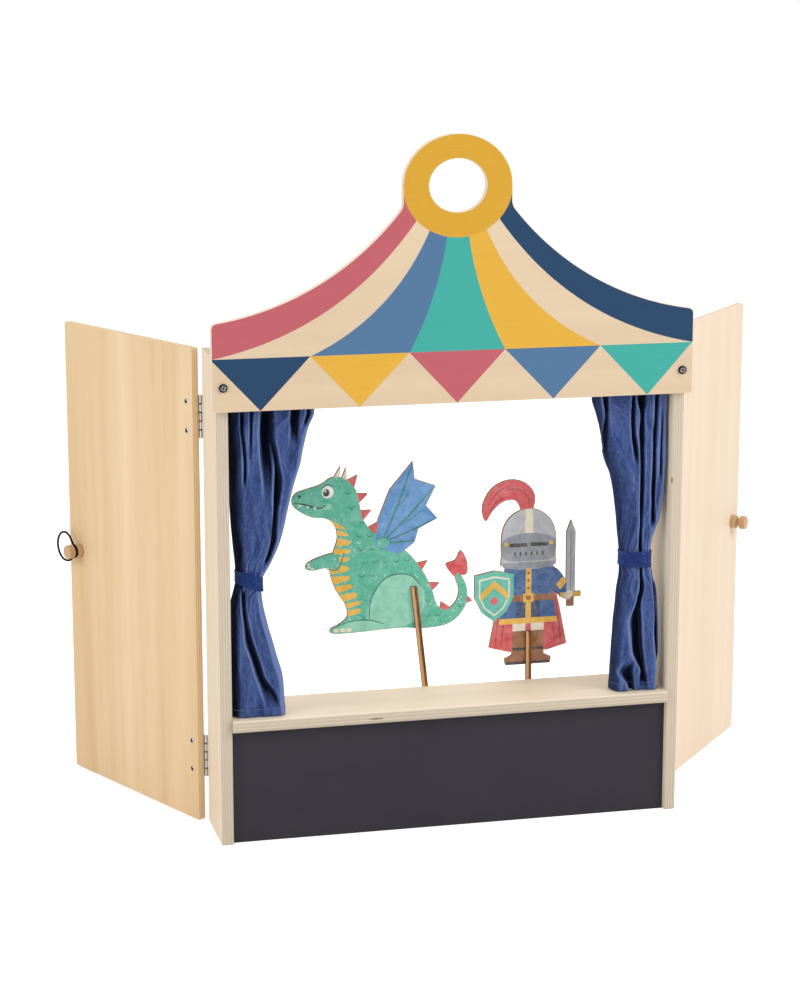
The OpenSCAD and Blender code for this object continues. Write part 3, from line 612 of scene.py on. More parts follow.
def velvet(name, tone):
    """Cut pile: soft, brushed cloudy and heathered, with painted shade that darkens its folds and a
    painted highlight that lightens its ridges.
    """
    finish = Finish(name, Roughness=0.9, Specular_IOR_Level=0.1, Sheen_Weight=0.26,
                    Sheen_Roughness=0.35, Sheen_Tint=(0.4, 0.52, 0.9, 1))
    where = finish.at("UV")
    cloud = where.stretch(1, 0.35, 1).noise(70, 4, 0.6, 0.7)
    heather = where.stretch(1, 0.5, 1).noise(330, 5, 0.85)
    pile = where.stretch(1, 0.6, 1).noise(900, 3, 0.85)
    # A paler, greyer blue: pale threads of the heather, and the colour of the painted highlights on
    # ridges
    worn_pile_and_highlight = blend_of(tone, (0.27, 0.36, 0.64, 1), 0.6)
    shade = cloud.between(0.3, 0.72).mix(blend_of(tone, worn_pile_and_highlight, 0.35), darker(tone, 0.72))
    shade = heather.between(0.5, 0.68, 0, 0.65).mix(shade, darker(tone, 0.42))
    shade = heather.between(0.48, 0.32, 0, 0.55).mix(shade, worn_pile_and_highlight)
    # Painted light that the cloth's mesh keeps at its points: painted shade in folds and near the side
    # panel, lighter on the side facing right, painted highlights on ridges
    light = finish.marked("pile light")
    # Painted shade: where the painted light is low the colour turns nearly black
    shade = light.between(0.3, 0.74).mix(darker(tone, 0.07), shade)
    # Painted highlight: the lightest points turn towards the paler blue
    return finish.done(Base_Color=light.between(0.74, 1.0, 0, 0.8).mix(shade, worn_pile_and_highlight),
                       Normal=(pile + heather).bump(0.0005, 0.5))


def ribbed(name, tone, pitch):
    """A woven band with fine ribs along it, clouds and creases."""
    finish = Finish(name, Roughness=0.75, Specular_IOR_Level=0.2, Sheen_Weight=0.3,
                    Sheen_Tint=(0.4, 0.5, 0.9, 1))
    where = finish.at("UV")
    ribs = (where.part(1) * (2 * math.pi / pitch)).sine()
    weave = where.stretch(1, 0.3, 1).noise(2200, 2, 0.7)
    cloud = where.stretch(1, 0.5, 1).noise(260, 4, 0.7, 0.6)
    creases = where.stretch(1, 0.12, 1).noise(420, 2, 0.5)
    shade = ribs.between(-1, 1, 0.45, 0).mix(tone, darker(tone, 0.5))
    shade = weave.between(0.35, 0.7, 0, 0.4).mix(shade, darker(tone, 0.55))
    shade = cloud.between(0.42, 0.66, 0, 0.55).mix(shade, darker(tone, 0.45))
    shade = cloud.between(0.46, 0.3, 0, 0.4).mix(shade, blend_of(tone, (0.25, 0.36, 0.66, 1), 0.5))
    return finish.done(Base_Color=shade, Normal=(ribs + weave + creases * 5.0).bump(0.0003, 0.8))


def thread(name, tone):
    finish = Finish(name, Roughness=0.7, Sheen_Weight=0.2)
    twist = finish.at("Object").noise(2600, 2)
    return finish.done(Base_Color=twist.mix(tone, darker(tone, 0.5)), Normal=twist.bump(0.0002, 0.5))


def braid(name, tone, pitch):
    """The braided cover of an elastic cord: strands cross in a diamond pattern."""
    finish = Finish(name, Roughness=0.75, Specular_IOR_Level=0.03)
    where = finish.at("UV")
    around = where.part(0) * (2 * math.pi * STRANDS)
    along = where.part(1) * (2 * math.pi / pitch)
    strands = (around + along).sine() * (around - along).sine()
    shade = strands.between(-1, 1).mix(darker(tone, 0.4), blend_of(tone, (0.05, 0.05, 0.055, 1), 0.4))
    return finish.done(Base_Color=shade, Normal=strands.bump(0.00025, 0.8))


def ink(name, tone, dots=0.0):
    """Printed colour with the soft clouds of a wash, on satin card."""
    finish = Finish(name, Roughness=0.55, Specular_IOR_Level=0.22)
    where = finish.at("Object")
    grit = where.noise(1300, 2, 0.6)
    shade = where.noise(85, 5, 0.62, 0.5).between(0.34, 0.66).mix(
        blend_of(tone, (0.92, 0.92, 0.88, 1), 0.12), darker(tone, 0.84))
    shade = grit.between(0.45, 0.72, 0, 0.2).mix(shade, blend_of(tone, (1, 1, 1, 1), 0.4))
    if dots:
        cell = where.then("ShaderNodeTexVoronoi", {"Vector": where, "Scale": 250.0, "Randomness": 0.9})
        patch = where.noise(22, 2).between(0.42, 0.6)
        shade = (cell.between(0.14, 0.24, dots, 0) * patch).mix(
            shade, blend_of(tone, (1, 1, 0.97, 1), 0.75))
    return finish.done(Base_Color=shade, Normal=grit.bump(0.00005, 0.3))


def faces_front(finish):
    """1 on a figure's faces and 0 on its cut edges."""
    return abs(finish.at("Normal").part(1)).between(0.3, 0.7)


def laser_cut(name, burnt):
    """Thin birch whose faces are pale and whose cut edges are burnt brown."""
    finish = Finish(name, Specular_IOR_Level=0.3)
    where = finish.at("Object")
    tone, fibre, _ = grain(where.stretch(1, 1, 0.05), linear(222, 176, 122), linear(196, 144, 90))
    front = faces_front(finish)
    edge = where.noise(700, 3, 0.6).between(0.3, 0.7).mix(burnt, darker(burnt, 0.35))
    return finish.done(Base_Color=front.mix(edge, tone), Roughness=front.between(0, 1, 0.75, 0.5),
                       Normal=fibre.bump(0.0001, 0.4))


def scorched(name, burnt, foot, top):
    """A laser-cut stick: its edges and the right part of its face are scorched brown."""
    finish = Finish(name, Specular_IOR_Level=0.2)
    where = finish.at("Object")
    lean = (foot[0] - top[0]) / (top[1] - foot[1])
    right = where.part(0) + where.part(2) * lean + (-foot[0] - foot[1] * lean) * MM
    smoke = where.stretch(1, 1, 0.12).noise(500, 3, 0.6)
    tone, fibre, _ = grain(where.stretch(1, 1, 0.04), linear(220, 178, 130), linear(198, 152, 104))
    brown = smoke.between(0.35, 0.7).mix(linear(146, 88, 44), linear(84, 48, 26))
    face = (right + smoke * (1.6 * MM)).between(0.1 * MM, 1.3 * MM).mix(tone, brown)
    edge = smoke.mix(burnt, darker(burnt, 0.35))
    return finish.done(Base_Color=faces_front(finish).mix(edge, face), Normal=fibre.bump(0.0001, 0.4),
                       Roughness=smoke.between(0.2, 0.8, 0.5, 0.7))


def black_with_highlight(name):
    """Black oxide with a painted highlight: light grey on the head's top round its middle, broken by
    scratchy noise.
    """
    finish = Finish(name, Metallic=0.85)
    where = finish.at("Object")
    away = off_centre(where, (SCREW_X, 0, SCREW_Z), (1, 0, 1))
    scratch = where.noise(1600, 3)
    # Painted highlight on the head's top, round the middle
    painted_highlight = away.between(2.0 * MM, 3.0 * MM, 1, 0) * scratch.between(0.35, 0.55)
    raised = where.part(1).between((PEDIMENT_LOW[1] - 2.1) * MM, (PEDIMENT_LOW[1] - 2.3) * MM)
    return finish.done(Base_Color=(painted_highlight * raised).mix(linear(30, 30, 33), linear(196, 196, 198)),
                       Roughness=scratch.between(0.3, 0.7, 0.28, 0.45))


def finish_node(name, finish):
    """Gives a CAD node that stays its better material."""
    for place in frame["nodes"][name].material_slots:
        place.material = finish


def placed(piece, body, slot, *nodes):
    """The piece rides on a body and stands for these nodes, which it hides; the slot is not used."""
    if nodes:
        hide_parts(*nodes)
    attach(piece, body)


# Geometry Nodes

FIXING_TREE = "fixings on points"


def new_tree(name, *extra):
    """A tree with the inputs that both trees share and these more."""
    tree = bpy.data.node_groups.new(name, "GeometryNodeTree")
    for label, kind in (("Geometry", "Geometry"), ("Piece", "Object"), ("Size", "Float"), *extra,
                        ("Seed", "Int"), ("Finish", "Material")):
        tree.interface.new_socket(name=label, in_out="INPUT", socket_type=f"NodeSocket{kind}")
    tree.interface.new_socket(name="Geometry", in_out="OUTPUT", socket_type="NodeSocketGeometry")
    return tree, tree.nodes.new("NodeGroupInput").outputs


def end_tree(tree, given, points, rotation, scale):
    """Instances of the piece on the points, realized and with their material."""
    piece = add(tree, "GeometryNodeObjectInfo", {"Object": given["Piece"], "As Instance": True})
    set_out = add(tree, "GeometryNodeInstanceOnPoints", {
        "Points": points, "Instance": piece.outputs["Geometry"], "Rotation": rotation,
        "Scale": scale})
    solid = add(tree, "GeometryNodeRealizeInstances", {"Geometry": set_out.outputs[0]})
    dressed = add(tree, "GeometryNodeSetMaterial", {"Geometry": solid.outputs[0],
                                                    "Material": given["Finish"]})
    add(tree, "NodeGroupOutput", {0: dressed.outputs[0]})
    return tree


def facing(tree, rotation, axis, vector, pivot="AUTO"):
    return add(tree, "FunctionNodeAlignRotationToVector", {"Rotation": rotation, "Vector": vector},
               axis=axis, pivot_axis=pivot).outputs[0]


def from_face(tree):
    return add(tree, "GeometryNodeInputNamedAttribute", {"Name": "face"},
               data_type="FLOAT_VECTOR").outputs[0]


def by_chance(tree, low, high, seed):
    return add(tree, "FunctionNodeRandomValue", {2: low, 3: high, 8: seed}, data_type="FLOAT").outputs[1]


def fixing_tree():
    """Sets one fixing on each point, its Z along the point's face, turned at random about it."""
    tree, given = new_tree(FIXING_TREE)
    spin = add(tree, "ShaderNodeCombineXYZ", {2: by_chance(tree, 0.0, math.pi, given["Seed"])})
    spun = add(tree, "FunctionNodeEulerToRotation", {0: spin.outputs[0]})
    upright = facing(tree, (0, 0, 0), "Z", from_face(tree))
    set_on = add(tree, "FunctionNodeRotateRotation", {0: upright, 1: spun.outputs[0]},
                 rotation_space="LOCAL")
    size = add(tree, "ShaderNodeCombineXYZ", dict.fromkeys(range(3), given["Size"]))
    return end_tree(tree, given, given["Geometry"], set_on.outputs[0], size.outputs[0])


def stitch_tree():
    """Sets stitches along a seam, one each pitch, flat on the cloth's face."""
    tree, given = new_tree("stitches on a seam", ("Pitch", "Float"))
    seam = add(tree, "GeometryNodeMeshToCurve", {0: given["Geometry"]})
    points = add(tree, "GeometryNodeCurveToPoints", {"Curve": seam.outputs[0],
                                                     "Length": given["Pitch"]}, mode="LENGTH")
    along = facing(tree, (0, 0, 0), "X", points.outputs["Tangent"])
    lying = facing(tree, along, "Z", from_face(tree), "X")
    reach = Flow(tree, by_chance(tree, 0.92, 1.08, given["Seed"])) * given["Size"]
    scale = add(tree, "ShaderNodeCombineXYZ", {0: reach, 1: given["Size"], 2: given["Size"]})
    return end_tree(tree, given, points.outputs["Points"], lying, scale.outputs[0])


def repeated(name, tree, points, faces, joined=False, **values):
    """Runs a tree on points, joined in a row or loose, and returns its plain mesh object."""
    edges = [(i, i + 1) for i in range(len(points) - 1)] if joined else []
    mesh = bpy.data.meshes.new(name)
    mesh.from_pydata([tuple(p) for p in points], edges, [])
    face = mesh.attributes.new("face", "FLOAT_VECTOR", "POINT")
    face.data.foreach_set("vector", np.array([tuple(f) for f in faces], np.float32).ravel())
    piece = bpy.data.objects.new(name, mesh)
    bpy.context.scene.collection.objects.link(piece)
    modifier = piece.modifiers.new("repeat", "NODES")
    modifier.node_group = tree
    for item in tree.interface.items_tree:
        if item.in_out == "INPUT" and item.name in values:
            modifier[item.identifier] = values[item.name]
    left_over = settled(piece).data.attributes.get("face")
    if left_over:
        piece.data.attributes.remove(left_over)
    return piece


def discard(*pieces):
    for piece in pieces:
        bpy.data.objects.remove(piece)


# Places from the frame, in millimetres

def box_mm(node):
    low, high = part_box(node)
    return [round(v / MM, 3) for v in low], [round(v / MM, 3) for v in high]


PANEL_LOW, PANEL_HIGH = box_mm("right_side_panel")
SHELF_LOW, SHELF_HIGH = box_mm("stage_shelf")
CHALK_LOW, CHALK_HIGH = box_mm("chalkboard")
PEDIMENT_LOW, PEDIMENT_HIGH = box_mm("pediment_board")
ROD_LOW, ROD_HIGH = box_mm("curtain_rod")
SCREW_LOW, SCREW_HIGH = box_mm("pediment_screws")
SCREW_R, SCREW_HEAD = 4.25, 2.6
SCREW_X = SCREW_HIGH[0] - SCREW_R
SCREW_Z = (SCREW_LOW[2] + SCREW_HIGH[2]) / 2
INNER_X = PANEL_LOW[0]
BOX_H = PANEL_HIGH[2]
ROD_Y = (ROD_LOW[1] + ROD_HIGH[1]) / 2
ROD_Z = (ROD_LOW[2] + ROD_HIGH[2]) / 2
BAND_LOW, BAND_HIGH = (v[2] for v in box_mm("left_tieback"))

# A door's own frame: X from the hinge's axis to the free edge, Y out from the stage
HINGE = {j["child"]: [v / MM for v in j["pos_m"]] for j in frame["joints"] if "pos_m" in j}
OPEN = {"left": 115, "right": 130}
HINGE_OUT, LEAF, DOOR_T, DOOR_W, DOOR_FOOT, DOOR_CORNER = 1.7, 0.8, 8, 239, 1.5, 2.5
DOOR_FACE = LEAF + DOOR_T
KNOB_U = HINGE_OUT + DOOR_W - 20
KNOB_Z = DOOR_FOOT + (BOX_H - DOOR_FOOT) / 2
KNOB_R, KNOB_NECK, KNOB_EASE, KNOB_LONG = 7.5, 4.5, 1.2, 17
NECK_AT, NECK_HALF = 8, 1.7
HINGE_Z = (70, 424)
FIXING_Z = [z + up for z in HINGE_Z for up in (-15, 15)]
RIVET_IN, HINGE_SCREW_IN = HINGE_OUT + 10, HINGE_OUT + 6
ROLL = 8.8
FLUSH = 0.1


def door_place(side):
    """Puts a point of a door's own frame, in millimetres, where the open door has it."""
    x, y, _ = HINGE[f"{side}_door_set"]
    swing = (Matrix.Translation((-abs(x) * MM, y * MM, 0))
             @ Matrix.Rotation(math.radians(OPEN[side]), 4, "Z"))
    if side == "right":
        swing = Matrix.Scale(-1, 4, (1, 0, 0)) @ swing
    return lambda u, w, z: swing @ Vector((u * MM, w * MM, z * MM))


def fixed_place(side):
    """The same for what stays on the box when its door opens."""
    x, y, _ = HINGE[f"{side}_door_set"]
    sign = 1 if side == "left" else -1
    return lambda u, w, z: Vector((sign * (-abs(x) + u) * MM, (y + w) * MM, z * MM))


def direction(at, *way):
    return (at(*way) - at(0, 0, 0)).normalized()


def on_wall(y):
    """Places a drawing in X and Z on the plane at y, growing backwards."""
    return lambda x, z, w: Vector((x * MM, (y + w) * MM, z * MM))


# Stage and cord, with the floor's half width in metres

FLOOR_REACH = 14


def lamp(name, place, target, size, power, tint=(1, 1, 1)):
    light = bpy.data.lights.new(name, "AREA")
    light.shape, light.size, light.energy, light.color = "SQUARE", size, power, tint
    made = bpy.data.objects.new(name, light)
    made.location = place
    made.rotation_euler = (Vector(target) - Vector(place)).to_track_quat("-Z", "Y").to_euler()
    bpy.context.scene.collection.objects.link(made)


def seen_rays(tree):
    """1 for what the camera, a reflection or clear material shows, and 0 for light on the part."""
    rays = add(tree, "ShaderNodeLightPath").outputs
    seen = Flow(tree, rays["Is Camera Ray"])
    for kind in ("Is Glossy Ray", "Is Transmission Ray"):
        seen = seen.sums("MAXIMUM", rays[kind])
    return seen


def pale_floor():
    """Pale ground that glows a little for the camera only."""
    finish = Finish("pale floor", Roughness=0.9, Specular_IOR_Level=0.0)
    tree = finish.tree
    tint = finish.at("Object").noise(0.6, 2)
    made = finish.done(Base_Color=tint.mix((0.86, 0.86, 0.86, 1), (0.9, 0.9, 0.9, 1)))
    glow = add(tree, "ShaderNodeEmission", {"Color": (1, 1, 1, 1), "Strength": seen_rays(tree) * 0.6})
    both = add(tree, "ShaderNodeAddShader", {0: finish.shader.outputs[0], 1: glow.outputs[0]})
    tree.links.new(both.outputs[0], tree.nodes["Material Output"].inputs["Surface"])
    return made


class THEATRE_OT_stage(bpy.types.Operator):
    """Makes the camera, the pale floor, the even light and the lamps"""

    bl_idname = "theatre.stage"
    bl_label = "Stage"

    def execute(self, context):
        scene, stage = context.scene, context.scene.theatre_stage
        scene.view_settings.view_transform = "Standard"
        camera = bpy.data.cameras.new("camera")
        camera.lens, camera.sensor_width, camera.clip_end = stage.lens, 36, 40
        eye = bpy.data.objects.new("camera", camera)
        eye.location = stage.camera
        eye.rotation_euler = Vector(stage.forward).to_track_quat("-Z", "Y").to_euler()
        scene.collection.objects.link(eye)
        scene.camera = eye

        scene.world = bpy.data.worlds.new("air")
        scene.world.use_nodes = True
        tree = scene.world.node_tree
        back = tree.nodes["Background"].inputs
        back["Color"].default_value = (1, 1, 1, 1)
        tree.links.new(seen_rays(tree).between(0, 1, stage.air, 1).socket, back["Strength"])

        corners = [(x * FLOOR_REACH, y * FLOOR_REACH, 0) for x, y in ((-1, -1), (1, -1), (1, 1), (-1, 1))]
        floor = mesh_object("floor", corners, [(0, 1, 2, 3)], [pale_floor()])

        lamp("key", (2.3, -1.9, 2.0), (0, 0, 0.3), 1.6, stage.key, (1, 0.985, 0.96))
        lamp("fill", (-2.9, -1.1, 1.5), (0, 0, 0.3), 2.0, stage.fill, (0.98, 0.99, 1))
        lamp("top", (0.3, 0.6, 2.9), (0, 0, 0.2), 2.0, 0.6 * stage.fill)
        return {"FINISHED"}


# The loop's middle line from the knob's middle, and its radius
LOOP_ROUTE = [
    (-6.2, -0.3), (-5.3, -3.3), (-2.9, -5.5), (0.5, -6.7), (4, -8.6), (8, -11), (12, -12.3),
    (17, -12.6), (22, -11.8), (26.5, -9.2), (30, -5.2), (32, -0.2), (32.3, 5), (30.4, 10.2),
    (26.8, 14.6), (22, 17.4), (16.5, 18.4), (11, 17.2), (6.6, 14.2), (3.2, 10.4), (0, 7.2),
    (-3.1, 5.4), (-5.3, 3.3), (-6.2, 0.3)]
LOOP_R, LOOP_SIDES = 1.15, 24
STRANDS, STRAND_TURN, STRAND_PITCH = 8, 2.6, 2.4


def loop_mesh(route, run, at, cover):
    """A tube along the route, swelled where its strands cross."""
    side = beside(route)
    side[0] = side[-1] = (1, 0)
    points, uvs = [], []
    for (u, v), (du, dv), s in zip(route, side, run):
        for k in range(LOOP_SIDES + 1):
            a, turn = 2 * math.pi * k / LOOP_SIDES, STRAND_TURN * s
            swell = math.sin(STRANDS * a + turn) * math.sin(STRANDS * a - turn)
            r = LOOP_R * (1 + 0.035 * swell)
            points.append(at(KNOB_U + u + du * r * math.cos(a),
                             DOOR_FACE + NECK_AT + r * math.sin(a),
                             KNOB_Z + v + dv * r * math.cos(a)))
            uvs.append((k / LOOP_SIDES, s * MM))
    last = (len(route) - 1) * (LOOP_SIDES + 1)
    faces = grid(len(route), LOOP_SIDES + 1)
    faces += [range(LOOP_SIDES - 1, -1, -1), range(last, last + LOOP_SIDES)]
    return outward(mesh_object("elastic_loop_cord", points, faces, [cover], uvs, True))


class THEATRE_OT_elastic_loop(bpy.types.Operator):
    """Makes the braided elastic loop round the left knob's neck"""

    bl_idname = "theatre.elastic_loop"
    bl_label = "Elastic loop"

    def execute(self, context):
        at = door_place("left")
        route = smooth_run(LOOP_ROUTE, 8)
        run = run_along(route)
        cover = braid("braided elastic", context.scene.theatre_colours.elastic, STRAND_PITCH * MM)
        loop = loop_mesh(route, run, at, cover)
        placed(loop, "left_door_set", "elastic", "elastic_loop")
        path = [at(KNOB_U + u, DOOR_FACE + NECK_AT, KNOB_Z + v) for u, v in route]
        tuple(path[0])
        return {"FINISHED"}


# Boards. A knot is its centre and its half lengths.

PANEL_CORNER, SHELF_NOSE, CHALK_CORNER = 1.2, 3, 0.5
PANEL_KNOT = ((229, PANEL_LOW[1], 352), (1.1, 6, 3.6))
SHELF_KNOT = ((-82, SHELF_LOW[1], 123.3), (9, 4, 0.9))


def side_panel(side, sign, knots, sizes, colours):
    low, high = PANEL_LOW, PANEL_HIGH
    return board(
        f"{side}_panel_plywood", rectangle(low[1], low[2], high[1], high[2], PANEL_CORNER),
        lambda u, v, w: Vector((sign * (low[0] + w) * MM, u * MM, v * MM)),
        high[0] - low[0], sizes.panel_edge, (1, 0, 0), (0, 0, 1), (0.7 * sign, 0.3),
        [veneer(f"{side} panel face", colours.birch, colours.birch_dark, flecks=0.6),
         plies(f"{side} panel edge", colours.ply, colours.ply_dark, sizes.layer, knots)])


def shelf_board(sizes, colours):
    low, high, nose = SHELF_LOW, SHELF_HIGH, SHELF_NOSE
    outline = ([(high[1], low[2]), (high[1], high[2])]
               + arc(low[1] + nose, high[2] - nose, nose, 90, 180, 6)
               + arc(low[1] + nose, low[2] + nose, nose, 180, 270, 6))
    return board(
        "shelf_plywood", anticlockwise(outline),
        lambda u, v, w: Vector(((low[0] + w) * MM, u * MM, v * MM)),
        high[0] - low[0], 0.35 * sizes.board_edge, (0, 0, 1), (1, 0, 0), (2.2, 1.1),
        [veneer("shelf face", colours.shelf, colours.shelf_dark),
         plies("shelf edge", colours.ply, colours.ply_dark, 1.3 * sizes.layer, [SHELF_KNOT])])


class THEATRE_OT_box(bpy.types.Operator):
    """Makes the plywood side panels and the shelf, and finishes the rod and the dowels"""

    bl_idname = "theatre.box"
    bl_label = "Box"

    def execute(self, context):
        sizes, colours = panel_values(context)
        for side, sign, knots in (("left", -1, ()), ("right", 1, [PANEL_KNOT])):
            piece = side_panel(side, sign, knots, sizes, colours)
            placed(piece, "box", "plywood", f"{side}_side_panel")
        placed(shelf_board(sizes, colours), "box", "pale_wood", "stage_shelf")
        pole = veneer("turned pale wood", colours.birch, colours.birch_dark, which="Object",
                      squeeze=(0.05, 1, 1))
        finish_node("curtain_rod", pole)
        finish_node("shelf_dowels", pole)
        return {"FINISHED"}


class THEATRE_OT_chalkboard(bpy.types.Operator):
    """Makes the chalkboard under the shelf"""

    bl_idname = "theatre.chalkboard"
    bl_label = "Chalkboard"

    def execute(self, context):
        sizes, colours = panel_values(context)
        low, high = CHALK_LOW, CHALK_HIGH
        outline = rectangle(low[0], low[2], high[0], high[2], CHALK_CORNER)
        piece = board("chalkboard_panel", outline, on_wall(low[1]), high[1] - low[1],
                      0.5 * sizes.board_edge, (0, 1, 0), (1, 0, 0), (0, 0),
                      [slate("chalkboard paint", colours.slate),
                       slate("chalkboard edge", darker(colours.slate, 0.8))])
        placed(piece, "box", "chalkboard", "chalkboard")
        return {"FINISHED"}


# Pediment: the ring and its hole, the outline's radii and the heights of its slope's ends

RING_RX, RING_RZ, HOLE_RX, HOLE_RZ = 55, 50, 29, 26
RING_Z = BOX_H + 163
BAND_LINE = BOX_H + 1
SLOPE_R, NECK_R, EAVES_R, CORNER_R, PEAK_OUT = 287, 14, 6, 3, 3
EAVES_Z, PEAK_Z = BOX_H + 36, BOX_H + 139
# The pennants' corners on the band line, and their tips
PENNANT_FEET = (-246, -148, -48.7, 48.7, 147.3, 244)
PENNANT_TIPS = (-197.5, -99, 0, 99, 197.5)
TENT_TONES = ("rose", "navy", "blue", "teal", "yellow", "amber")


def half_outline():
    """The right half of the pediment's outline, from the lower corner up to the ring's side."""
    half, foot = PEDIMENT_HIGH[0], PEDIMENT_LOW[2]
    eaves_x, peak_x = half - EAVES_R, RING_RX + PEAK_OUT
    middle = Vector(((eaves_x + peak_x) / 2, (EAVES_Z + PEAK_Z) / 2))
    run = Vector((eaves_x - peak_x, EAVES_Z - PEAK_Z))
    rise = math.sqrt(SLOPE_R ** 2 - run.length_squared / 4)
    slope = middle + rise * Vector((-run.y, run.x)) / run.length

    def touching(x, far):
        """A centre at x, this far from the slope's centre, and the angle to it in degrees."""
        centre = Vector((x, slope.y - math.sqrt(far ** 2 - (slope.x - x) ** 2)))
        return centre, math.degrees(math.atan2(centre.y - slope.y, centre.x - slope.x))
    neck, neck_a = touching(RING_RX + NECK_R, SLOPE_R - NECK_R)
    turn, turn_a = touching(eaves_x, SLOPE_R + EAVES_R)
    return (arc(half - CORNER_R, foot + CORNER_R, CORNER_R, -90, 0, 5)
            + arc(turn.x, turn.y, EAVES_R, 0, turn_a + 180, 6)
            + arc(slope.x, slope.y, SLOPE_R, turn_a, neck_a, 44)
            + arc(neck.x, neck.y, NECK_R, neck_a + 360, 180, 9))


def pediment_outline(inset=0.0):
    right = half_outline()
    ring = [(x * RING_RX, RING_Z + z * RING_RZ) for x, z in arc(0, 0, 1, 0, 180, 60)]
    outline = [(0, PEDIMENT_LOW[2])] + right + ring + flipped(right)[::-1]
    thin = outline[:1]
    for p in outline[1:]:
        if math.dist(p, thin[-1]) > 0.05:
            thin.append(p)
    p = np.array(thin)
    return [tuple(q) for q in p + inset * left_of(np.roll(p, -1, 0) - np.roll(p, 1, 0))]


def seam_line(foot, top, sag):
    """A stripe's edge from the band line up to the ring, hanging towards the lower middle."""
    a, b = np.array(foot, float), np.array(top, float)
    t = np.linspace(0, 1, 25)[:, None]
    return [tuple(q) for q in a + (b - a) * t - sag * 4 * t * (1 - t) * left_of((b - a)[None])]


def pediment_fields(rim):
    """The painted fields: five stripes, the ring and five pennants, and bare wood between them."""
    rose, navy, blue, teal, yellow, amber = range(len(TENT_TONES))
    outer = seam_line((-245, BAND_LINE), (-42.3, RING_Z - 34), 24)
    middle = seam_line((-147.3, BAND_LINE), (-29, RING_Z - 44), 16)
    inner = seam_line((-48.7, BAND_LINE), (-11.2, RING_Z - 50), 5.2)
    for seam in (middle, inner):
        seam.append((seam[-1][0], seam[-1][1] + 12))
    side = outer + [(-48, RING_Z + 10), (-300, RING_Z + 10), (-300, BAND_LINE)]
    sail = middle + inner[::-1]
    fields = [("board", pediment_outline(rim), None, None)]
    fields += [("stripe", stripe, tone, "board") for stripe, tone in (
        (side, rose), (flipped(side), navy), (sail, blue), (flipped(sail), yellow),
        (inner + flipped(inner)[::-1], teal))]
    fields += [("ring", ellipse(0, RING_Z - 0.2, RING_RX + 0.2, RING_RZ + 0.3, 96), amber, "board"),
               ("hole", ellipse(0, RING_Z, HOLE_RX + rim, HOLE_RZ + rim, 72), None, None)]
    for k, tone in enumerate((navy, yellow, rose, blue, teal)):
        fields.append(("pennant", [(PENNANT_FEET[k], BAND_LINE),
                                   (PENNANT_TIPS[k], PEDIMENT_LOW[2] + 0.3),
                                   (PENNANT_FEET[k + 1], BAND_LINE)], tone, "board"))
    return fields


class THEATRE_OT_pediment(bpy.types.Operator):
    """Makes the sawn pediment, its painted stripes, ring and pennants, and its screws"""

    bl_idname = "theatre.pediment"
    bl_label = "Pediment"

    def execute(self, context):
        sizes, colours = panel_values(context)
        front = PEDIMENT_LOW[1]
        piece = board("pediment_plywood", pediment_outline(), on_wall(front),
                      PEDIMENT_HIGH[1] - front, sizes.board_edge, (0, 1, 0), (1, 0, 0), (1.4, 0.6),
                      [veneer("pediment face", colours.tent, colours.tent_dark),
                       plies("pediment edge", blend_of(colours.pale, (1, 1, 1, 1), 0.3),
                             colours.pale_dark, sizes.layer * 0.8)],
                      ellipse(0, RING_Z, HOLE_RX, HOLE_RZ, 72))
        placed(piece, "box", "plywood", "pediment_board")

        depth = sizes.paint_depth / MM
        film = coat("pediment_paint", pediment_fields(sizes.paint_rim / MM),
                    on_wall(front - depth), depth,
                    [paint(f"{tone} paint", getattr(colours, tone)) for tone in TENT_TONES])
        placed(film, "box", "painted_plywood")
        head = pan_head()
        spots = [Vector((sign * SCREW_X, front, SCREW_Z)) * MM for sign in (-1, 1)]
        fixings("pediment_screws", "box", "black_screw", head, black_with_highlight("black screw"),
                sizes.seed + 5, spots, (0, -1, 0))
        discard(head)
        return {"FINISHED"}


# Fixings, with profiles from the top of the head down or from the point up

def turned(name, profile, steps):
    """A small turned piece about Z at the origin, for the tree to repeat."""
    return lathe(name, profile, lambda a, b, h: Vector((a, b, h)) * MM, steps)


def cross_slot(piece, reach, width, deep, top):
    """Cuts a cross recess into a head's top."""
    for u, v in ((reach, width), (width, reach)):
        cutter = prism("cutter", [(-u, -v), (u, -v), (u, v), (-u, v)], [[0, 1, 2, 3]],
                       lambda x, y, w: (x * MM, y * MM, (top + 1 - w) * MM), deep + 1)
        cut = piece.modifiers.new("cut", "BOOLEAN")
        cut.object, cut.operation, cut.solver = cutter, "DIFFERENCE", "EXACT"
        settled(piece)
        discard(cutter)
    return piece


def pan_head():
    r, high, round_r = SCREW_R, SCREW_HEAD, 1.1
    dome = [(r - round_r + round_r * math.cos(a), high - 1.45 + round_r * math.sin(a))
            for a in (1.25, 0.9, 0.55, 0.2)]
    back = PEDIMENT_LOW[1] - SCREW_HIGH[1]
    profile = [(0, high), (1.6, high - 0.04), (2.9, high - 0.28), *dome, (r, 0.25), (r - 0.25, 0),
               (1.9, 0), (1.9, back + 2), (0, back)]
    return cross_slot(turned("pan head", profile, 40), 2.3, 0.55, 1.4, high)


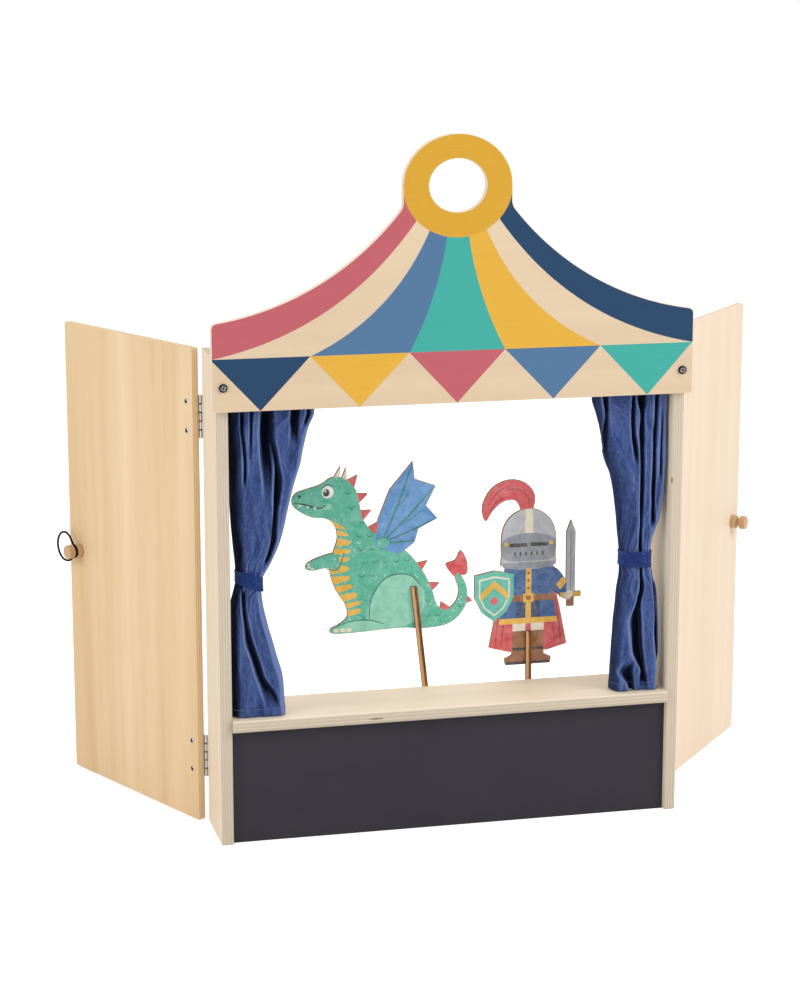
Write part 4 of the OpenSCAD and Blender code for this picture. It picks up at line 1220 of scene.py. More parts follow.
def rivet():
    """A domed rivet through a door and a leaf, with its recess marked for painted shade."""
    dome = [(3 * math.cos(math.radians(a)), 0.2 + math.sin(math.radians(a))) for a in (12, 25, 38)]
    profile = [(0, FLUSH - DOOR_FACE), (2.1, FLUSH - DOOR_FACE), (1.45, FLUSH - DOOR_T), (1.45, 0),
               (2.6, 0), (3, 0.15), *dome, (2.25, 0.9), (2.05, 0.6), (1.9, 0.3), (0, 0.25)]
    piece = turned("rivet", profile, 28)
    recess_r, recess_z = 2.15 * MM, 0.2 * MM
    # Marks the recess, where painted shade turns the steel black
    soil = piece.data.attributes.new("soil", "FLOAT", "POINT")
    soil.data.foreach_set("value", [float(math.hypot(v.co.x, v.co.y) < recess_r
                                          and v.co.z > recess_z) for v in piece.data.vertices])
    return piece


def hinge_screw():
    profile = [(0, -10), (1.1, -9.4), (1.2, -1.1), (1.9, -FLUSH), (1.7, -0.06), (0, -0.02)]
    return cross_slot(turned("screw", profile, 24), 1.15, 0.22, 0.5, 0)


def knob_screw():
    profile = [(0, -14), (1.3, -13), (1.5, -1.9), (3.1, 0.0), (2.9, 0.1), (1.8, 0.2), (0, 0.24)]
    return cross_slot(turned("knob screw", profile, 32), 1.9, 0.32, 0.7, 0.24)


def fixings(node, body, slot, piece, finish, seed, spots, way):
    """Sets a piece on each spot, its top facing this way, in place of a node."""
    tree = bpy.data.node_groups.get(FIXING_TREE) or fixing_tree()
    made = repeated(f"{node.rstrip('s')}_set", tree, spots, [way] * len(spots),
                    Piece=piece, Size=1.0, Seed=seed, Finish=finish)
    placed(made, body, slot, node)


# Doors, hinges and knobs

class THEATRE_OT_doors(bpy.types.Operator):
    """Makes the two plywood doors"""

    bl_idname = "theatre.doors"
    bl_label = "Doors"

    def execute(self, context):
        sizes, colours = panel_values(context)
        outline = rectangle(HINGE_OUT, DOOR_FOOT, HINGE_OUT + DOOR_W, BOX_H, DOOR_CORNER)
        for side, light, dark, shift in (("left", colours.tan, colours.tan_dark, 3.1),
                                         ("right", colours.pale, colours.pale_dark, 5.3)):
            place = door_place(side)
            piece = board(
                f"{side}_door_plywood", outline, lambda u, v, w: place(u, LEAF + w, v), DOOR_T,
                sizes.board_edge, direction(place, 0, 1, 0), (0, 0, 1), (shift, 0.4),
                [veneer(f"{side} door face", light, dark),
                 plies(f"{side} door edge", light, darker(dark, 0.92), 0.95 * sizes.layer)])
            placed(piece, f"{side}_door_set", "plywood", f"{side}_door")
        return {"FINISHED"}


class THEATRE_OT_hinges(bpy.types.Operator):
    """Makes the rivets and the screws of the hinges, and finishes the leaves and the pins"""

    bl_idname = "theatre.hinges"
    bl_label = "Hinges"

    def execute(self, context):
        sizes, colours = panel_values(context)
        # The heights of the painted shade between the hinges' knuckles
        steel = metal("hinge steel", colours.steel, 0.3, (1, 1, 0.08),
                      [z + k * ROLL for z in HINGE_Z for k in (-1.5, -0.5, 0.5, 1.5)])
        for name in frame["nodes"]:
            if "_hinge_" in name and name.endswith(("leaf", "pin")):
                finish_node(name, steel)
        plated = metal("fixing steel", colours.steel, 0.2)
        riveted, driven = rivet(), hinge_screw()
        for side in ("left", "right"):
            place, still = door_place(side), fixed_place(side)
            fixings(f"{side}_door_rivets", f"{side}_door_set", "fixing_steel", riveted, plated,
                    sizes.seed, [place(RIVET_IN, DOOR_FACE, z) for z in FIXING_Z],
                    direction(place, 0, 1, 0))
            fixings(f"{side}_hinge_screws", "box", "fixing_steel", driven, plated, sizes.seed + 3,
                    [still(HINGE_SCREW_IN, 0, z) for z in FIXING_Z], (0, 1, 0))
        discard(riveted, driven)
        return {"FINISHED"}


def knob_profile():
    """A spool: two eased discs with a neck between them."""
    r, ease = KNOB_R - KNOB_EASE, KNOB_EASE
    low, high = NECK_AT - NECK_HALF, NECK_AT + NECK_HALF
    return ([(0, 0)] + arc(r, ease, ease, -90, 0, 6) + arc(r, low - ease, ease, 0, 90, 6)
            + [(KNOB_NECK + 0.5, low), (KNOB_NECK, low + 0.5), (KNOB_NECK, high - 0.5),
               (KNOB_NECK + 0.5, high)]
            + arc(r, high + ease, ease, -90, 0, 6) + arc(r, KNOB_LONG - ease, ease, 0, 90, 6)
            + [(r - 0.6, KNOB_LONG), (4.2, KNOB_LONG - 0.05), (2.2, KNOB_LONG - 0.05),
               (0, KNOB_LONG)])


class THEATRE_OT_knobs(bpy.types.Operator):
    """Makes the turned knobs and the screws that hold them"""

    bl_idname = "theatre.knobs"
    bl_label = "Knobs"

    def execute(self, context):
        sizes, colours = panel_values(context)
        beech = veneer("turned beech", colours.beech, darker(colours.beech, 0.78),
                       squeeze=(1, 0.25, 1), sheen=0.35)
        plated = metal("knob screw steel", colours.steel, 0.28)
        driven = knob_screw()
        for side in ("left", "right"):
            place = door_place(side)
            knob = lathe(f"{side}_knob_turned", knob_profile(),
                         lambda a, b, h: place(KNOB_U + a, DOOR_FACE + h, KNOB_Z + b), 64)
            knob.data.materials.append(beech)
            placed(knob, f"{side}_door_set", "knob_wood", f"{side}_knob")
            fixings(f"{side}_knob_screw", f"{side}_door_set", "fixing_steel", driven, plated,
                    sizes.seed + 7, [place(KNOB_U, LEAF, KNOB_Z)], -direction(place, 0, 1, 0))
        discard(driven)
        return {"FINISHED"}


# Curtains, in distances in from the panel and forward of the rod. An edge row is (height, outer
# edge, inner edge, front, round of the outer edge, round of the inner edge). A fold is a valley
# that runs down the cloth, in rows of (height, place, depth, outer half width, inner half width).

LEFT_EDGES = (
    (437, 2, 88.5, 9.5, 20, 5), (420, 2, 82, 10, 19, 5), (400, 2.5, 77, 10, 18, 5),
    (385, 3, 74.5, 10, 17, 5), (370, 3.5, 70, 10, 16, 5), (355, 4, 65.5, 10.5, 15, 5),
    (340, 4.5, 61.5, 10.5, 13, 5), (325, 5.5, 58, 10.5, 12, 5), (310, 7, 54, 10.5, 11, 5),
    (297, 8, 49, 10, 10, 5), (284, 9, 42.5, 9.5, 9, 5), (268, 9.3, 34.3, 9, 8, 6),
    (250, 5, 34.5, 9.5, 8, 6), (240, 2.5, 35.5, 10, 9, 6), (222, 1.5, 39.5, 11, 9, 7),
    (205, 1.5, 44.5, 12, 9, 7), (190, 1.5, 48.5, 12.5, 9, 7), (170, 1.5, 54.5, 13, 9, 7),
    (150, 2, 56.5, 13, 9, 7), (131, 2.5, 57, 13, 9, 7))
LEFT_FOLDS = (
    ((450, 15.6, 5, 1.6, 1.6), (420, 15.6, 6, 1.6, 1.6), (400, 17.1, 6, 1.6, 1.6),
     (385, 17.6, 5, 1.6, 1.6), (362, 16.6, 0, 1.6, 1.6)),
    ((450, 24.6, 2.5, 2, 2), (415, 23.6, 1.5, 1.5, 1.5), (380, 22.6, 0, 1.5, 1.5)),
    ((450, 40.6, 19, 5.5, 5.5), (436, 40.1, 19, 5.5, 5.5), (420, 39.6, 19, 6, 6.5),
     (407, 38.6, 17, 5, 7), (398, 38.1, 13, 4, 8), (385, 38.6, 6.5, 4, 8),
     (370, 39.6, 3.5, 4, 7), (350, 39.6, 0, 4, 6)),
    ((412, 45.6, 0, 2, 2), (400, 47.6, 11, 2, 2), (385, 49.1, 12, 2.2, 2.6),
     (370, 48.6, 10, 2.2, 5), (355, 47.1, 9, 1.8, 5), (340, 46.9, 9, 1.6, 3),
     (325, 45.9, 9, 1.6, 3), (310, 44.6, 10, 1.6, 3), (297, 41.1, 9, 1.8, 2.5),
     (284, 36.6, 0, 1.8, 2.5)),
    ((450, 64.6, 9, 1.8, 6), (436, 65.1, 9, 1.8, 6), (420, 66.6, 4, 3, 4), (400, 65.6, 0, 3, 4)),
    ((450, 81.6, 6, 2, 2), (436, 81.6, 6, 2, 2), (420, 76.6, 0, 2, 2)),
    ((262, 14.1, 0, 1.8, 1.8), (253, 14.1, 8, 1.8, 2), (240, 14.6, 9, 2, 2.2),
     (222, 17.1, 11, 2.2, 2.4), (205, 19.6, 12, 3, 3.5), (190, 24.1, 12, 3, 4),
     (170, 30.1, 8, 3.5, 4), (150, 40.6, 4, 7, 6), (135, 42.6, 0, 6, 6)))
RIGHT_EDGES = (
    (437, 1, 78.5, 9.5, 4, 9), (420, 1, 74, 10, 4, 9), (400, 1, 69.5, 10, 4, 10),
    (385, 1, 67, 10, 4, 12), (370, 1.5, 62.5, 10.5, 4, 17), (355, 2, 57.5, 10.5, 4, 20),
    (340, 2.5, 54, 10.5, 5, 20), (325, 4, 52, 10.5, 6, 20), (310, 6, 50, 10, 6, 19),
    (297, 10.5, 49, 9.5, 6, 18), (284, 14.3, 47.5, 9, 6, 16), (268, 15.5, 46.8, 8.5, 5, 12),
    (250, 12, 47, 9.5, 5, 15), (240, 9.5, 49, 10.5, 5, 16), (222, 7.5, 51, 11.5, 6, 14),
    (205, 6, 53, 12, 6, 10), (190, 5.5, 53.5, 12.5, 6, 8), (170, 5, 54.3, 13, 6, 8),
    (150, 5, 54.8, 13, 6, 8), (131, 6, 55, 13, 6, 8))
RIGHT_FOLDS = (
    ((450, 14.1, 8, 2, 1.6), (420, 14.6, 10, 2, 1.6), (385, 15.6, 12, 2, 1.8),
     (355, 15.9, 11, 2, 2), (340, 16.6, 9, 2, 2), (325, 16.6, 7, 2, 2), (310, 16.1, 3, 3, 2),
     (295, 15.6, 0, 3, 2)),
    ((430, 8.6, 0, 1.4, 1.2), (400, 8.6, 2, 1.4, 1.2), (370, 8.6, 2.5, 1.4, 1.2),
     (345, 8.6, 0, 1.4, 1.2)),
    ((450, 32.6, 6, 5, 1.6), (436, 32.6, 7, 6, 1.6), (420, 29.6, 12, 2, 1.6),
     (400, 30.6, 9, 3.5, 1.5), (385, 28.9, 8, 2.4, 1.5), (355, 28.4, 9, 2.2, 1.5),
     (325, 28.6, 9, 2, 1.5), (297, 28.6, 10, 1.8, 1.6), (284, 28.6, 6, 1.8, 1.8),
     (268, 27.6, 3, 2, 2), (253, 27.1, 11, 1.6, 1.6), (240, 27.6, 5, 3, 2),
     (222, 29.6, 9, 1.8, 3), (205, 28.6, 12, 2, 9), (190, 28.1, 12, 2, 9),
     (170, 26.6, 13, 2.2, 8), (150, 23.1, 9, 2, 3), (138, 23.6, 3, 4, 4), (131, 23.6, 1, 4, 4)),
    ((450, 39.1, 5, 1.8, 1.8), (436, 39.1, 6, 1.8, 2), (420, 39.6, 9, 2.4, 1.6),
     (400, 38.6, 10, 2.2, 1.7), (385, 36.6, 5, 2.6, 2), (372, 34.6, 1, 2, 2),
     (360, 34.6, 0, 2, 2)),
    ((450, 67.6, 9, 1.8, 3), (436, 67.6, 9, 1.8, 3), (420, 66.6, 6, 1.8, 2),
     (400, 66.6, 5, 2.5, 2), (385, 64.6, 5, 1.8, 2), (370, 62.1, 3, 1.6, 2),
     (355, 59.6, 0, 1.6, 2)),
    ((256, 13.6, 0, 1.6, 1.6), (240, 12.6, 6, 1.8, 1.8), (222, 10.6, 8, 1.8, 1.6),
     (205, 9.6, 9, 2, 2), (190, 10.1, 9, 2.2, 2.2), (170, 9.1, 8, 2.4, 2), (150, 7.1, 8, 2.4, 2),
     (138, 7.6, 4, 2, 2), (131, 7.6, 3, 2, 2)),
    ((165, 38.6, 0, 5, 6), (150, 41.1, 8, 5, 8), (138, 36.1, 9, 2, 5), (131, 35.1, 9, 2, 4)))
# Points across and down the cloth and round the rod, then heights and the seam's way into the hem
ACROSS, DOWN, ROUND_ROD = 220, 140, 22
HANG_TOP, HANG_FOOT, FLAP_FOOT = 471, 131, 461
TURNED_BACK = -4
SEAM_IN = 2.2
# How far a fold's painted shade reaches on the pile, in millimetres and at most in steps across
PILE_REACH = 34
# Ripples of loose cloth: depth in millimetres, waves across and waves down
RIPPLES = ((0.35, 2.1, 1.3), (0.28, 3.4, -2.2), (0.22, 5.3, 3.1), (0.13, 8.2, -4.5),
           (0.1, 11.3, 6.4))


def on_curves(table, z):
    """Values at heights z, on smooth curves through rows that start with their height."""
    rows = np.array(table, float)[::-1]
    levels, values = rows[:, 0], rows[:, 1:]
    slope = np.gradient(values, levels, axis=0)
    slope[0] = slope[-1] = 0
    i = np.clip(np.searchsorted(levels, z) - 1, 0, len(levels) - 2)
    step = (levels[i + 1] - levels[i])[:, None]
    t = np.clip((z - levels[i])[:, None] / step, 0, 1)
    return ((1 + 2 * t) * (1 - t) ** 2 * values[i] + t * (1 - t) ** 2 * step * slope[i]
            + t * t * (3 - 2 * t) * values[i + 1] + t * t * (t - 1) * step * slope[i + 1])


def even_run(edge, folds, back):
    """One row of the cloth, from its turned outer edge to its turned inner edge, at even steps."""
    outer, inner, front, round_out, round_in = edge
    d = np.linspace(outer, inner, 500)
    rise = np.ones(len(d))
    for t in ((d - outer) / round_out, (inner - d) / round_in):
        rise = rise * np.sqrt(1 - (1 - np.clip(t, 0, 1)) ** 2)
    forward = TURNED_BACK + (front - TURNED_BACK) * rise
    for place, depth, out, into in folds:
        away = np.abs(d - place) / np.where(d < place, out, into)
        forward -= max(depth, 0) * np.exp(-away ** 4)
    line = np.concatenate([[[outer + 0.8, back + 0.5], [outer + 0.2, (back + TURNED_BACK) / 2]],
                           np.stack([d, forward], 1),
                           smooth_run([(inner, TURNED_BACK), (inner - 2.5, 0.4 * back - 3),
                                       (inner - 11, back)], 12)[1:]])
    run = run_along(line)
    at = np.linspace(0, run[-1], ACROSS)
    return np.stack([np.interp(at, run, line[:, k]) for k in (0, 1)], 1)


def curtain_rows(edges, folds, seed):
    """Rows of (distance in, distance forward, height) down the cloth: a flap behind the rod, the
    sleeve over it, then the hanging pleats."""
    share = np.linspace(0, 1, ACROSS)
    rng = np.random.default_rng(seed)
    phase = rng.uniform(0, 2 * np.pi, 12)

    def waves(count, shift):
        return np.sin(2 * np.pi * count * share + shift)
    heights = HANG_TOP - (HANG_TOP - HANG_FOOT + 0.2) * np.linspace(0, 1, DOWN) ** 1.02
    edges = on_curves(edges, heights)
    folds = np.stack([on_curves(fold, heights) for fold in folds], 1)
    gather = 0.75 * waves(13, phase[0]) + 0.45 * waves(21, phase[1])
    near = []
    for z, edge, valleys in zip(heights, edges, folds):
        over, under = max(z - BAND_HIGH, 0), max(BAND_LOW - z, 0)
        line = even_run(edge, valleys, -10.5 + 2.5 * math.exp(-(over + under) / 12))
        pinch = 0.16 * math.exp(-over / 26) * math.exp(-under / 30)
        pleats = 0.9 * math.exp(-(HANG_TOP - z) / 24)
        ripple = sum(depth * waves(across, 2 * np.pi * down * z / (HANG_TOP - HANG_FOOT) + turn)
                     for (depth, across, down), turn in zip(RIPPLES, phase[2:]))
        loose = min(1, (over + under) / 25)
        line = line + beside(line) * ((pinch + pleats) * gather + loose * ripple)[:, None]
        near.append(np.column_stack([line, np.full(ACROSS, z)]))
    near = np.array(near)
    ends = near[0][[0, -1], 0]
    across = ends[0] + (ends[1] - ends[0]) * share
    radius = 6.1 + 0.75 * waves(11, phase[9]) + 0.3 * gather
    ring = [np.stack([across, radius * math.cos(a), ROD_Z + radius * math.sin(a)], 1)
            for a in np.radians(np.linspace(250, -66, ROUND_ROD))]
    blend_in = np.clip((HANG_TOP - heights) / 26, 0, 1)
    blend_in = (blend_in * blend_in * (3 - 2 * blend_in))[:, None, None]
    start = np.stack([across, radius * 0.4], 1)
    near[:, :, :2] = start + (near[:, :, :2] - start) * blend_in
    flap = []
    for z in np.linspace(FLAP_FOOT, HANG_TOP, 5):
        back = near[np.argmin(np.abs(heights - z))].copy()
        back[:, 1] -= 1.5 + 0.3 * (z - FLAP_FOOT) / 10
        back[:, 2] = z
        flap.append(back)
    return np.concatenate([flap, ring, near])


def painted_pile_light(rows, normals, sign, panel_shade_front):
    """Painted light for the pile at each point: painted shade from 0 deep in a fold, lighter where the
    pile faces right, and a painted highlight up to 1 on a ridge.
    """
    line, way = rows[..., :2], normals[..., :2]
    way = way / np.maximum(np.linalg.norm(way, axis=-1, keepdims=True), 1e-6)

    def rise(other):
        far = np.linalg.norm(other, axis=-1)
        near = np.clip((PILE_REACH - far) / 18, 0, 1)
        return (other * way).sum(-1) / np.maximum(far, 1.5) * near
    outer_side, inner_side = np.zeros(line.shape[:2]), np.zeros(line.shape[:2])
    for k in range(1, PILE_REACH):
        outer = np.roll(line, k, axis=1) - line
        inner = np.roll(line, -k, axis=1) - line
        outer[:, :k] = 0
        inner[:, -k:] = 0
        outer_side = np.maximum(outer_side, rise(outer))
        inner_side = np.maximum(inner_side, rise(inner))
    # The side panel casts painted shade too, up to this far forward
    for forward in range(-6, panel_shade_front, 3):
        outer_side = np.maximum(outer_side, rise(np.array([0, forward]) - line))
    # How open each point is: low where painted shade falls
    shown = np.clip(1 - 0.5 * (outer_side + inner_side), 0, 1)
    run = np.gradient(line, axis=1)
    step = np.maximum(np.linalg.norm(run, axis=-1, keepdims=True), 1e-6)
    ridge = -(np.gradient(run / step, axis=1) / step * way).sum(-1)
    ridge = np.clip((ridge + np.roll(ridge, 1, 1) + np.roll(ridge, -1, 1)) * 0.7, 0, 1)
    # Painted light from the right, and painted highlights on ridges
    return np.clip(shown * (0.72 + 0.34 * sign * way[..., 0]) + 0.3 * ridge, 0, 1)


def run_down(rows):
    """The way covered down the cloth at each row, on average."""
    drop = np.linalg.norm(np.diff(rows, axis=0), axis=2).mean(1)
    return np.concatenate([[0], np.cumsum(drop)])


def cloth_mesh(name, rows, side, finish, thick, hem):
    """A closed cloth about the rows: thicker in the hem, thin along its seam, with painted light for its
    pile kept at its points.
    """
    # How far forward the side panel casts painted shade on the cloth: further for the left curtain than
    # for the right
    sign, panel_shade_front = (-1, 13) if side == "left" else (1, 3)
    down, across = rows.shape[:2]
    count = down * across
    normals = np.cross(np.gradient(rows, axis=1), np.gradient(rows, axis=0))
    normals /= np.maximum(np.linalg.norm(normals, axis=-1, keepdims=True), 1e-9)
    rise = rows[..., 2:] - rows[-1, :, 2].min()
    fold = np.clip((hem - rise) / 1.2, 0, 1) * (np.arange(down) > down / 2)[:, None, None]
    groove = np.exp(-((rise - hem + SEAM_IN) / 0.7) ** 2) * fold
    half = thick / 2 * (1 + 0.9 * fold - 0.9 * groove)
    # Painted shade and painted highlights for the front and the back of the cloth
    lights = [painted_pile_light(rows, way, -sign, panel_shade_front) for way in (normals, -normals)]

    def on_stage(p):
        return np.stack([sign * (INNER_X - p[..., 0]), ROD_Y - p[..., 1], p[..., 2]], -1) * MM
    points = np.concatenate([on_stage(rows + way * half).reshape(-1, 3)
                             for way in (normals, -normals)])
    v = run_down(rows) * MM
    uvs = [(0.2 * c / (across - 1), v[r]) for r in range(down) for c in range(across)] * 2
    front = grid(down, across)
    faces = front + [tuple(count + i for i in reversed(f)) for f in front]
    rim = (list(range(across)) + [r * across + across - 1 for r in range(1, down)]
           + list(range(count - 2, count - across - 1, -1))
           + [r * across for r in range(down - 2, 0, -1)])
    faces += [(b, a, a + count, b + count) for a, b in zip(rim, rim[1:] + rim[:1])]
    piece = outward(mesh_object(name, points, faces, [finish], uvs, True), 0)
    shade = piece.data.attributes.new("pile light", "FLOAT", "POINT")
    shade.data.foreach_set("value", np.concatenate([light.ravel() for light in lights]))
    way = np.stack([-sign * normals[..., 0], -normals[..., 1], normals[..., 2]], -1)
    return piece, on_stage(rows), way, half * MM


def stitch_piece():
    """One stitch, a small bulging bar along X, a millimetre long before it is sized."""
    bulge = ((-0.5, 0.08), (-0.42, 0.17), (-0.2, 0.22), (0.2, 0.22), (0.42, 0.17), (0.5, 0.08))
    sides = [math.pi * k / 3 for k in range(6)]
    points = [(x * MM, r * math.cos(a) * MM, 0.8 * r * math.sin(a) * MM)
              for x, r in bulge for a in sides]
    faces = grid(len(bulge), len(sides), True) + [range(6), range(30, 36)]
    return outward(mesh_object("stitch", points, faces))


class THEATRE_OT_curtains(bpy.types.Operator):
    """Makes the velvet curtains with their sleeves, hems and stitches"""

    bl_idname = "theatre.curtains"
    bl_label = "Curtains"

    def execute(self, context):
        sizes, colours = panel_values(context)
        pile = velvet("curtain velvet", colours.velvet)
        yarn = thread("curtain thread", blend_of(colours.velvet, (0.2, 0.25, 0.45, 1), 0.3))
        tree, stitch, hem = stitch_tree(), stitch_piece(), sizes.hem / MM
        for side, edges, folds, seed in (("left", LEFT_EDGES, LEFT_FOLDS, sizes.seed),
                                         ("right", RIGHT_EDGES, RIGHT_FOLDS, sizes.seed + 1)):
            body = f"{side}_curtain_set"
            cloth, middle, way, half = cloth_mesh(f"{side}_curtain_velvet",
                                                  curtain_rows(edges, folds, seed), side, pile,
                                                  sizes.cloth / MM, hem)
            rise = np.abs(middle[:, :, 2].mean(1) / MM - HANG_FOOT - hem + SEAM_IN)
            seam = len(rise) // 2 + int(np.argmin(rise[len(rise) // 2:]))
            line = middle[seam] + way[seam] * (half[seam] + 0.05 * MM)
            stitches = repeated(f"{side}_curtain_stitches", tree, line, way[seam], joined=True,
                                Piece=stitch, Size=sizes.stitch / MM, Pitch=sizes.stitch_pitch,
                                Seed=sizes.seed, Finish=yarn)
            placed(cloth, body, "curtain_cloth", f"{side}_curtain")
            placed(stitches, body, "curtain_cloth")
        discard(stitch)
        return {"FINISHED"}


def band_profile(half):
    """A band's section as (out, up): turned in at both edges and a little hollow between."""
    low = [(-1.15, -half), (-1.25, -half - 0.5), (-0.6, -half - 1), (0.0, -half - 0.9),
           (0.25, -half + 0.2), (0.0, -half + 1.6), (-0.12, -0.45 * half)]
    return low + [(-0.18, 0)] + [(out, -up) for out, up in reversed(low)]


def band_mesh(side, lean, fan, lift, finish):
    """A band round the gathered cloth, tilted by its lean and lift and flared by its fan."""
    low, high = box_mm(f"{side}_tieback")
    x, y, z = [(a + b) / 2 for a, b in zip(low, high)]
    rx, ry, rz = [(b - a) / 2 for a, b in zip(low, high)]
    power, around, half = 2 / 2.6, 120, rz - 1.2
    profile = band_profile(half)
    height = run_along(np.array(profile))
    points, uvs = [], []
    for k in range(around + 1):
        a = 2 * math.pi * k / around
        cx, cy = (math.copysign(abs(c) ** power, c) for c in (math.cos(a), math.sin(a)))
        pucker = 0.12 * math.sin(9 * a) + 0.08 * math.sin(17 * a + 1)
        for (out, up), run in zip(profile, height):
            out += pucker * (1 - abs(up) / (half + 2))
            tilt = (lean + fan * up / half) * cx * 0.5
            points.append(((x + cx * (rx - 0.6 + out)) * MM, (y + cy * (ry + out)) * MM,
                           (z + lift + 0.84 * up + tilt) * MM))
            uvs.append((a * 0.012, run * MM))
    return outward(mesh_object(f"{side}_tieback_band", points, grid(around + 1, len(profile), True),
                               [finish], uvs, True))


class THEATRE_OT_tiebacks(bpy.types.Operator):
    """Makes the ribbed bands that hold the curtains in"""

    bl_idname = "theatre.tiebacks"
    bl_label = "Tiebacks"

    def execute(self, context):
        sizes, colours = panel_values(context)
        band = ribbed("tieback band", colours.band, sizes.rib)
        for side, lean, fan, lift in (("left", -5.75, 3.95, 2.6), ("right", -2.0, 0.9, 1.3)):
            piece = band_mesh(side, lean, fan, lift, band)
            placed(piece, f"{side}_curtain_set", "tieback_cloth", f"{side}_tieback")
        return {"FINISHED"}


# Puppets. Drawings are in X and Z from the middle of the feet, and a field is as in coat.

DRAGON_AT, KNIGHT_AT = (-58, 192), (101, 146)
# Foot and top of each stick's middle line
STICKS = {"dragon": ((4, 0.3), (-23, 237)), "knight": ((102, 0.3), (101, 182))}
FIGURE_FRONT = box_mm("dragon_figure")[0][1]
DRAGON_TONES = {"green": (84, 190, 160), "pale green": (142, 216, 188), "yellow": (246, 190, 62),
                "red": (224, 82, 88), "wing blue": (92, 152, 212), "deep green": (40, 128, 112),
                "cream": (242, 232, 206), "dark": (34, 42, 52), "white": (250, 249, 245)}
DRAGON_BODY = ((-50, 0), (-20, 0), (20, 2), (48, 0), (74, 4), (90, 20), (92, 40), (84, 56),
               (80, 52), (84, 38), (80, 25), (70, 18), (60, 24), (54, 42), (44, 62), (28, 82), (8, 95),
               (-8, 105), (-18, 118), (-22, 134), (-26, 150), (-36, 161), (-50, 164), (-62, 157),
               (-76, 153), (-88, 149), (-92, 141), (-88, 133), (-72, 124), (-58, 122), (-48, 114),
               (-45, 100), (-50, 84), (-53, 66), (-47, 46), (-37, 30), (-35, 17), (-44, 9), (-52, 5))
DRAGON_PAW = ((-46, 84), (-62, 82), (-76, 76), (-78, 70), (-70, 68), (-58, 70), (-44, 68))
DRAGON_WING = ((-6, 90), (-2, 118), (10, 148), (34, 176), (36, 158), (58, 150), (48, 130),
               (60, 116), (40, 106), (36, 92), (20, 80))
DRAGON_TAIL_TIP = ((80, 52), (70, 66), (80, 70), (86, 80), (92, 68), (92, 56), (86, 54))
DRAGON_BELLY = (((-56, 122), (-56, 104), (-60, 84), (-62, 66), (-56, 44), (-46, 28), (-46, 14)),
                ((-40, 114), (-33, 100), (-33, 84), (-35, 67), (-31, 49), (-22, 33), (-22, 18)))
DRAGON_HAUNCH = ((-12, 6), (-10, 34), (6, 56), (30, 58), (46, 40), (44, 16), (26, 4))
DRAGON_FOOT = ((-46, 1), (-40, 9), (-20, 12), (2, 9), (4, 1))
# Root, and turn to the right in degrees
DRAGON_SPIKES = ((-30, 158, 40), (-22, 142, 70), (-18, 124, 65), (-8, 108, 40), (42, 66, 55),
                 (54, 44, 70), (68, 20, 100), (91, 28, -20))
DRAGON_HORNS = ((-46, 163, 20), (-38, 161, 10))
# First scale of each row, and how many there are
DRAGON_SCALES = ((-34, 148, 1), (-32, 132, 2), (-30, 117, 2), (-24, 102, 3), (-20, 88, 4),
                 (-18, 74, 5), (-20, 60, 2), (48, 30, 1), (50, 14, 2), (84, 22, 1))
KNIGHT_TONES = {"red": (222, 84, 90), "wine": (170, 50, 62), "blue": (58, 100, 158),
                "navy": (34, 60, 102), "yellow": (242, 188, 64), "grey": (190, 192, 198),
                "shade": (146, 150, 160), "brown": (158, 98, 54), "teal": (92, 196, 176),
                "cream": (240, 230, 208), "dark": (44, 42, 46)}
KNIGHT_CAPE = ((-22, 108), (22, 108), (34, 60), (42, 20), (20, 14), (0, 18), (-20, 14), (-42, 20),
               (-34, 60))
KNIGHT_TUNIC = ((-25, 108), (25, 108), (27, 72), (32, 44), (-32, 44), (-27, 72))
KNIGHT_SKIRT = ((-12, 68), (-14, 44), (-2, 44), (-2, 68))
KNIGHT_BOOT = ((2, 0), (24, 0), (25, 6), (17, 10), (17, 46), (3, 46))
KNIGHT_HELMET = ((-25, 104), (25, 104), (29, 118), (29, 140), (24, 154), (14, 163), (0, 167),
                 (-14, 163), (-24, 154), (-29, 140), (-29, 118))
KNIGHT_VISOR = ((-27, 114), (0, 111), (27, 114), (28, 134), (0, 141), (-28, 134))
KNIGHT_PLUME = ((2, 162), (6, 180), (-4, 194), (-22, 198), (-40, 190), (-50, 172), (-47, 156),
                (-40, 166), (-28, 176), (-14, 176), (-6, 162))
KNIGHT_ARM = ((18, 106), (32, 100), (42, 86), (49, 76), (44, 67), (34, 72), (22, 84))
KNIGHT_SWORD = ((35, 70), (42.5, 70), (42.5, 60), (49.5, 60), (49.5, 70), (57, 70), (57, 75),
                (50.5, 75), (50.5, 140), (46, 152), (41.5, 140), (41.5, 75), (35, 75))
KNIGHT_BLADE = ((45.4, 77), (46.6, 77), (46.6, 138), (46, 143), (45.4, 138))
KNIGHT_SHIELD = ((-58, 98), (-37, 102), (-16, 98), (-16, 74), (-24, 58), (-37, 48), (-50, 58),
                 (-58, 74))
KNIGHT_CHEVRON = ((-52, 70), (-37, 84), (-22, 70), (-22, 78), (-37, 92), (-52, 78))


def spike(x, z, degrees, w, h, root=4):
    a = math.radians(-degrees)
    return [(x + u * math.cos(a) - v * math.sin(a), z + u * math.sin(a) + v * math.cos(a))
            for u, v in ((-w, -root), (w, -root), (0, h))]


def block(low, high, foot, top):
    """A shape about the middle line from low to high, with these half widths."""
    return [(-foot, low), (foot, low), (top, high), (-top, high)]


def scaled_about(points, x, z, share):
    return [(x + (u - x) * share, z + (v - z) * share) for u, v in points]


def lines(key, tone, inside, width, *drawn):
    """Fields for drawn lines of one width."""
    return [(key, stroke(points, width), tone, inside) for points in drawn]


def ovals(key, tone, inside, steps, *drawn):
    """Fields for ellipses, each given as its middle and half widths."""
    return [(key, ellipse(*oval, steps), tone, inside) for oval in drawn]


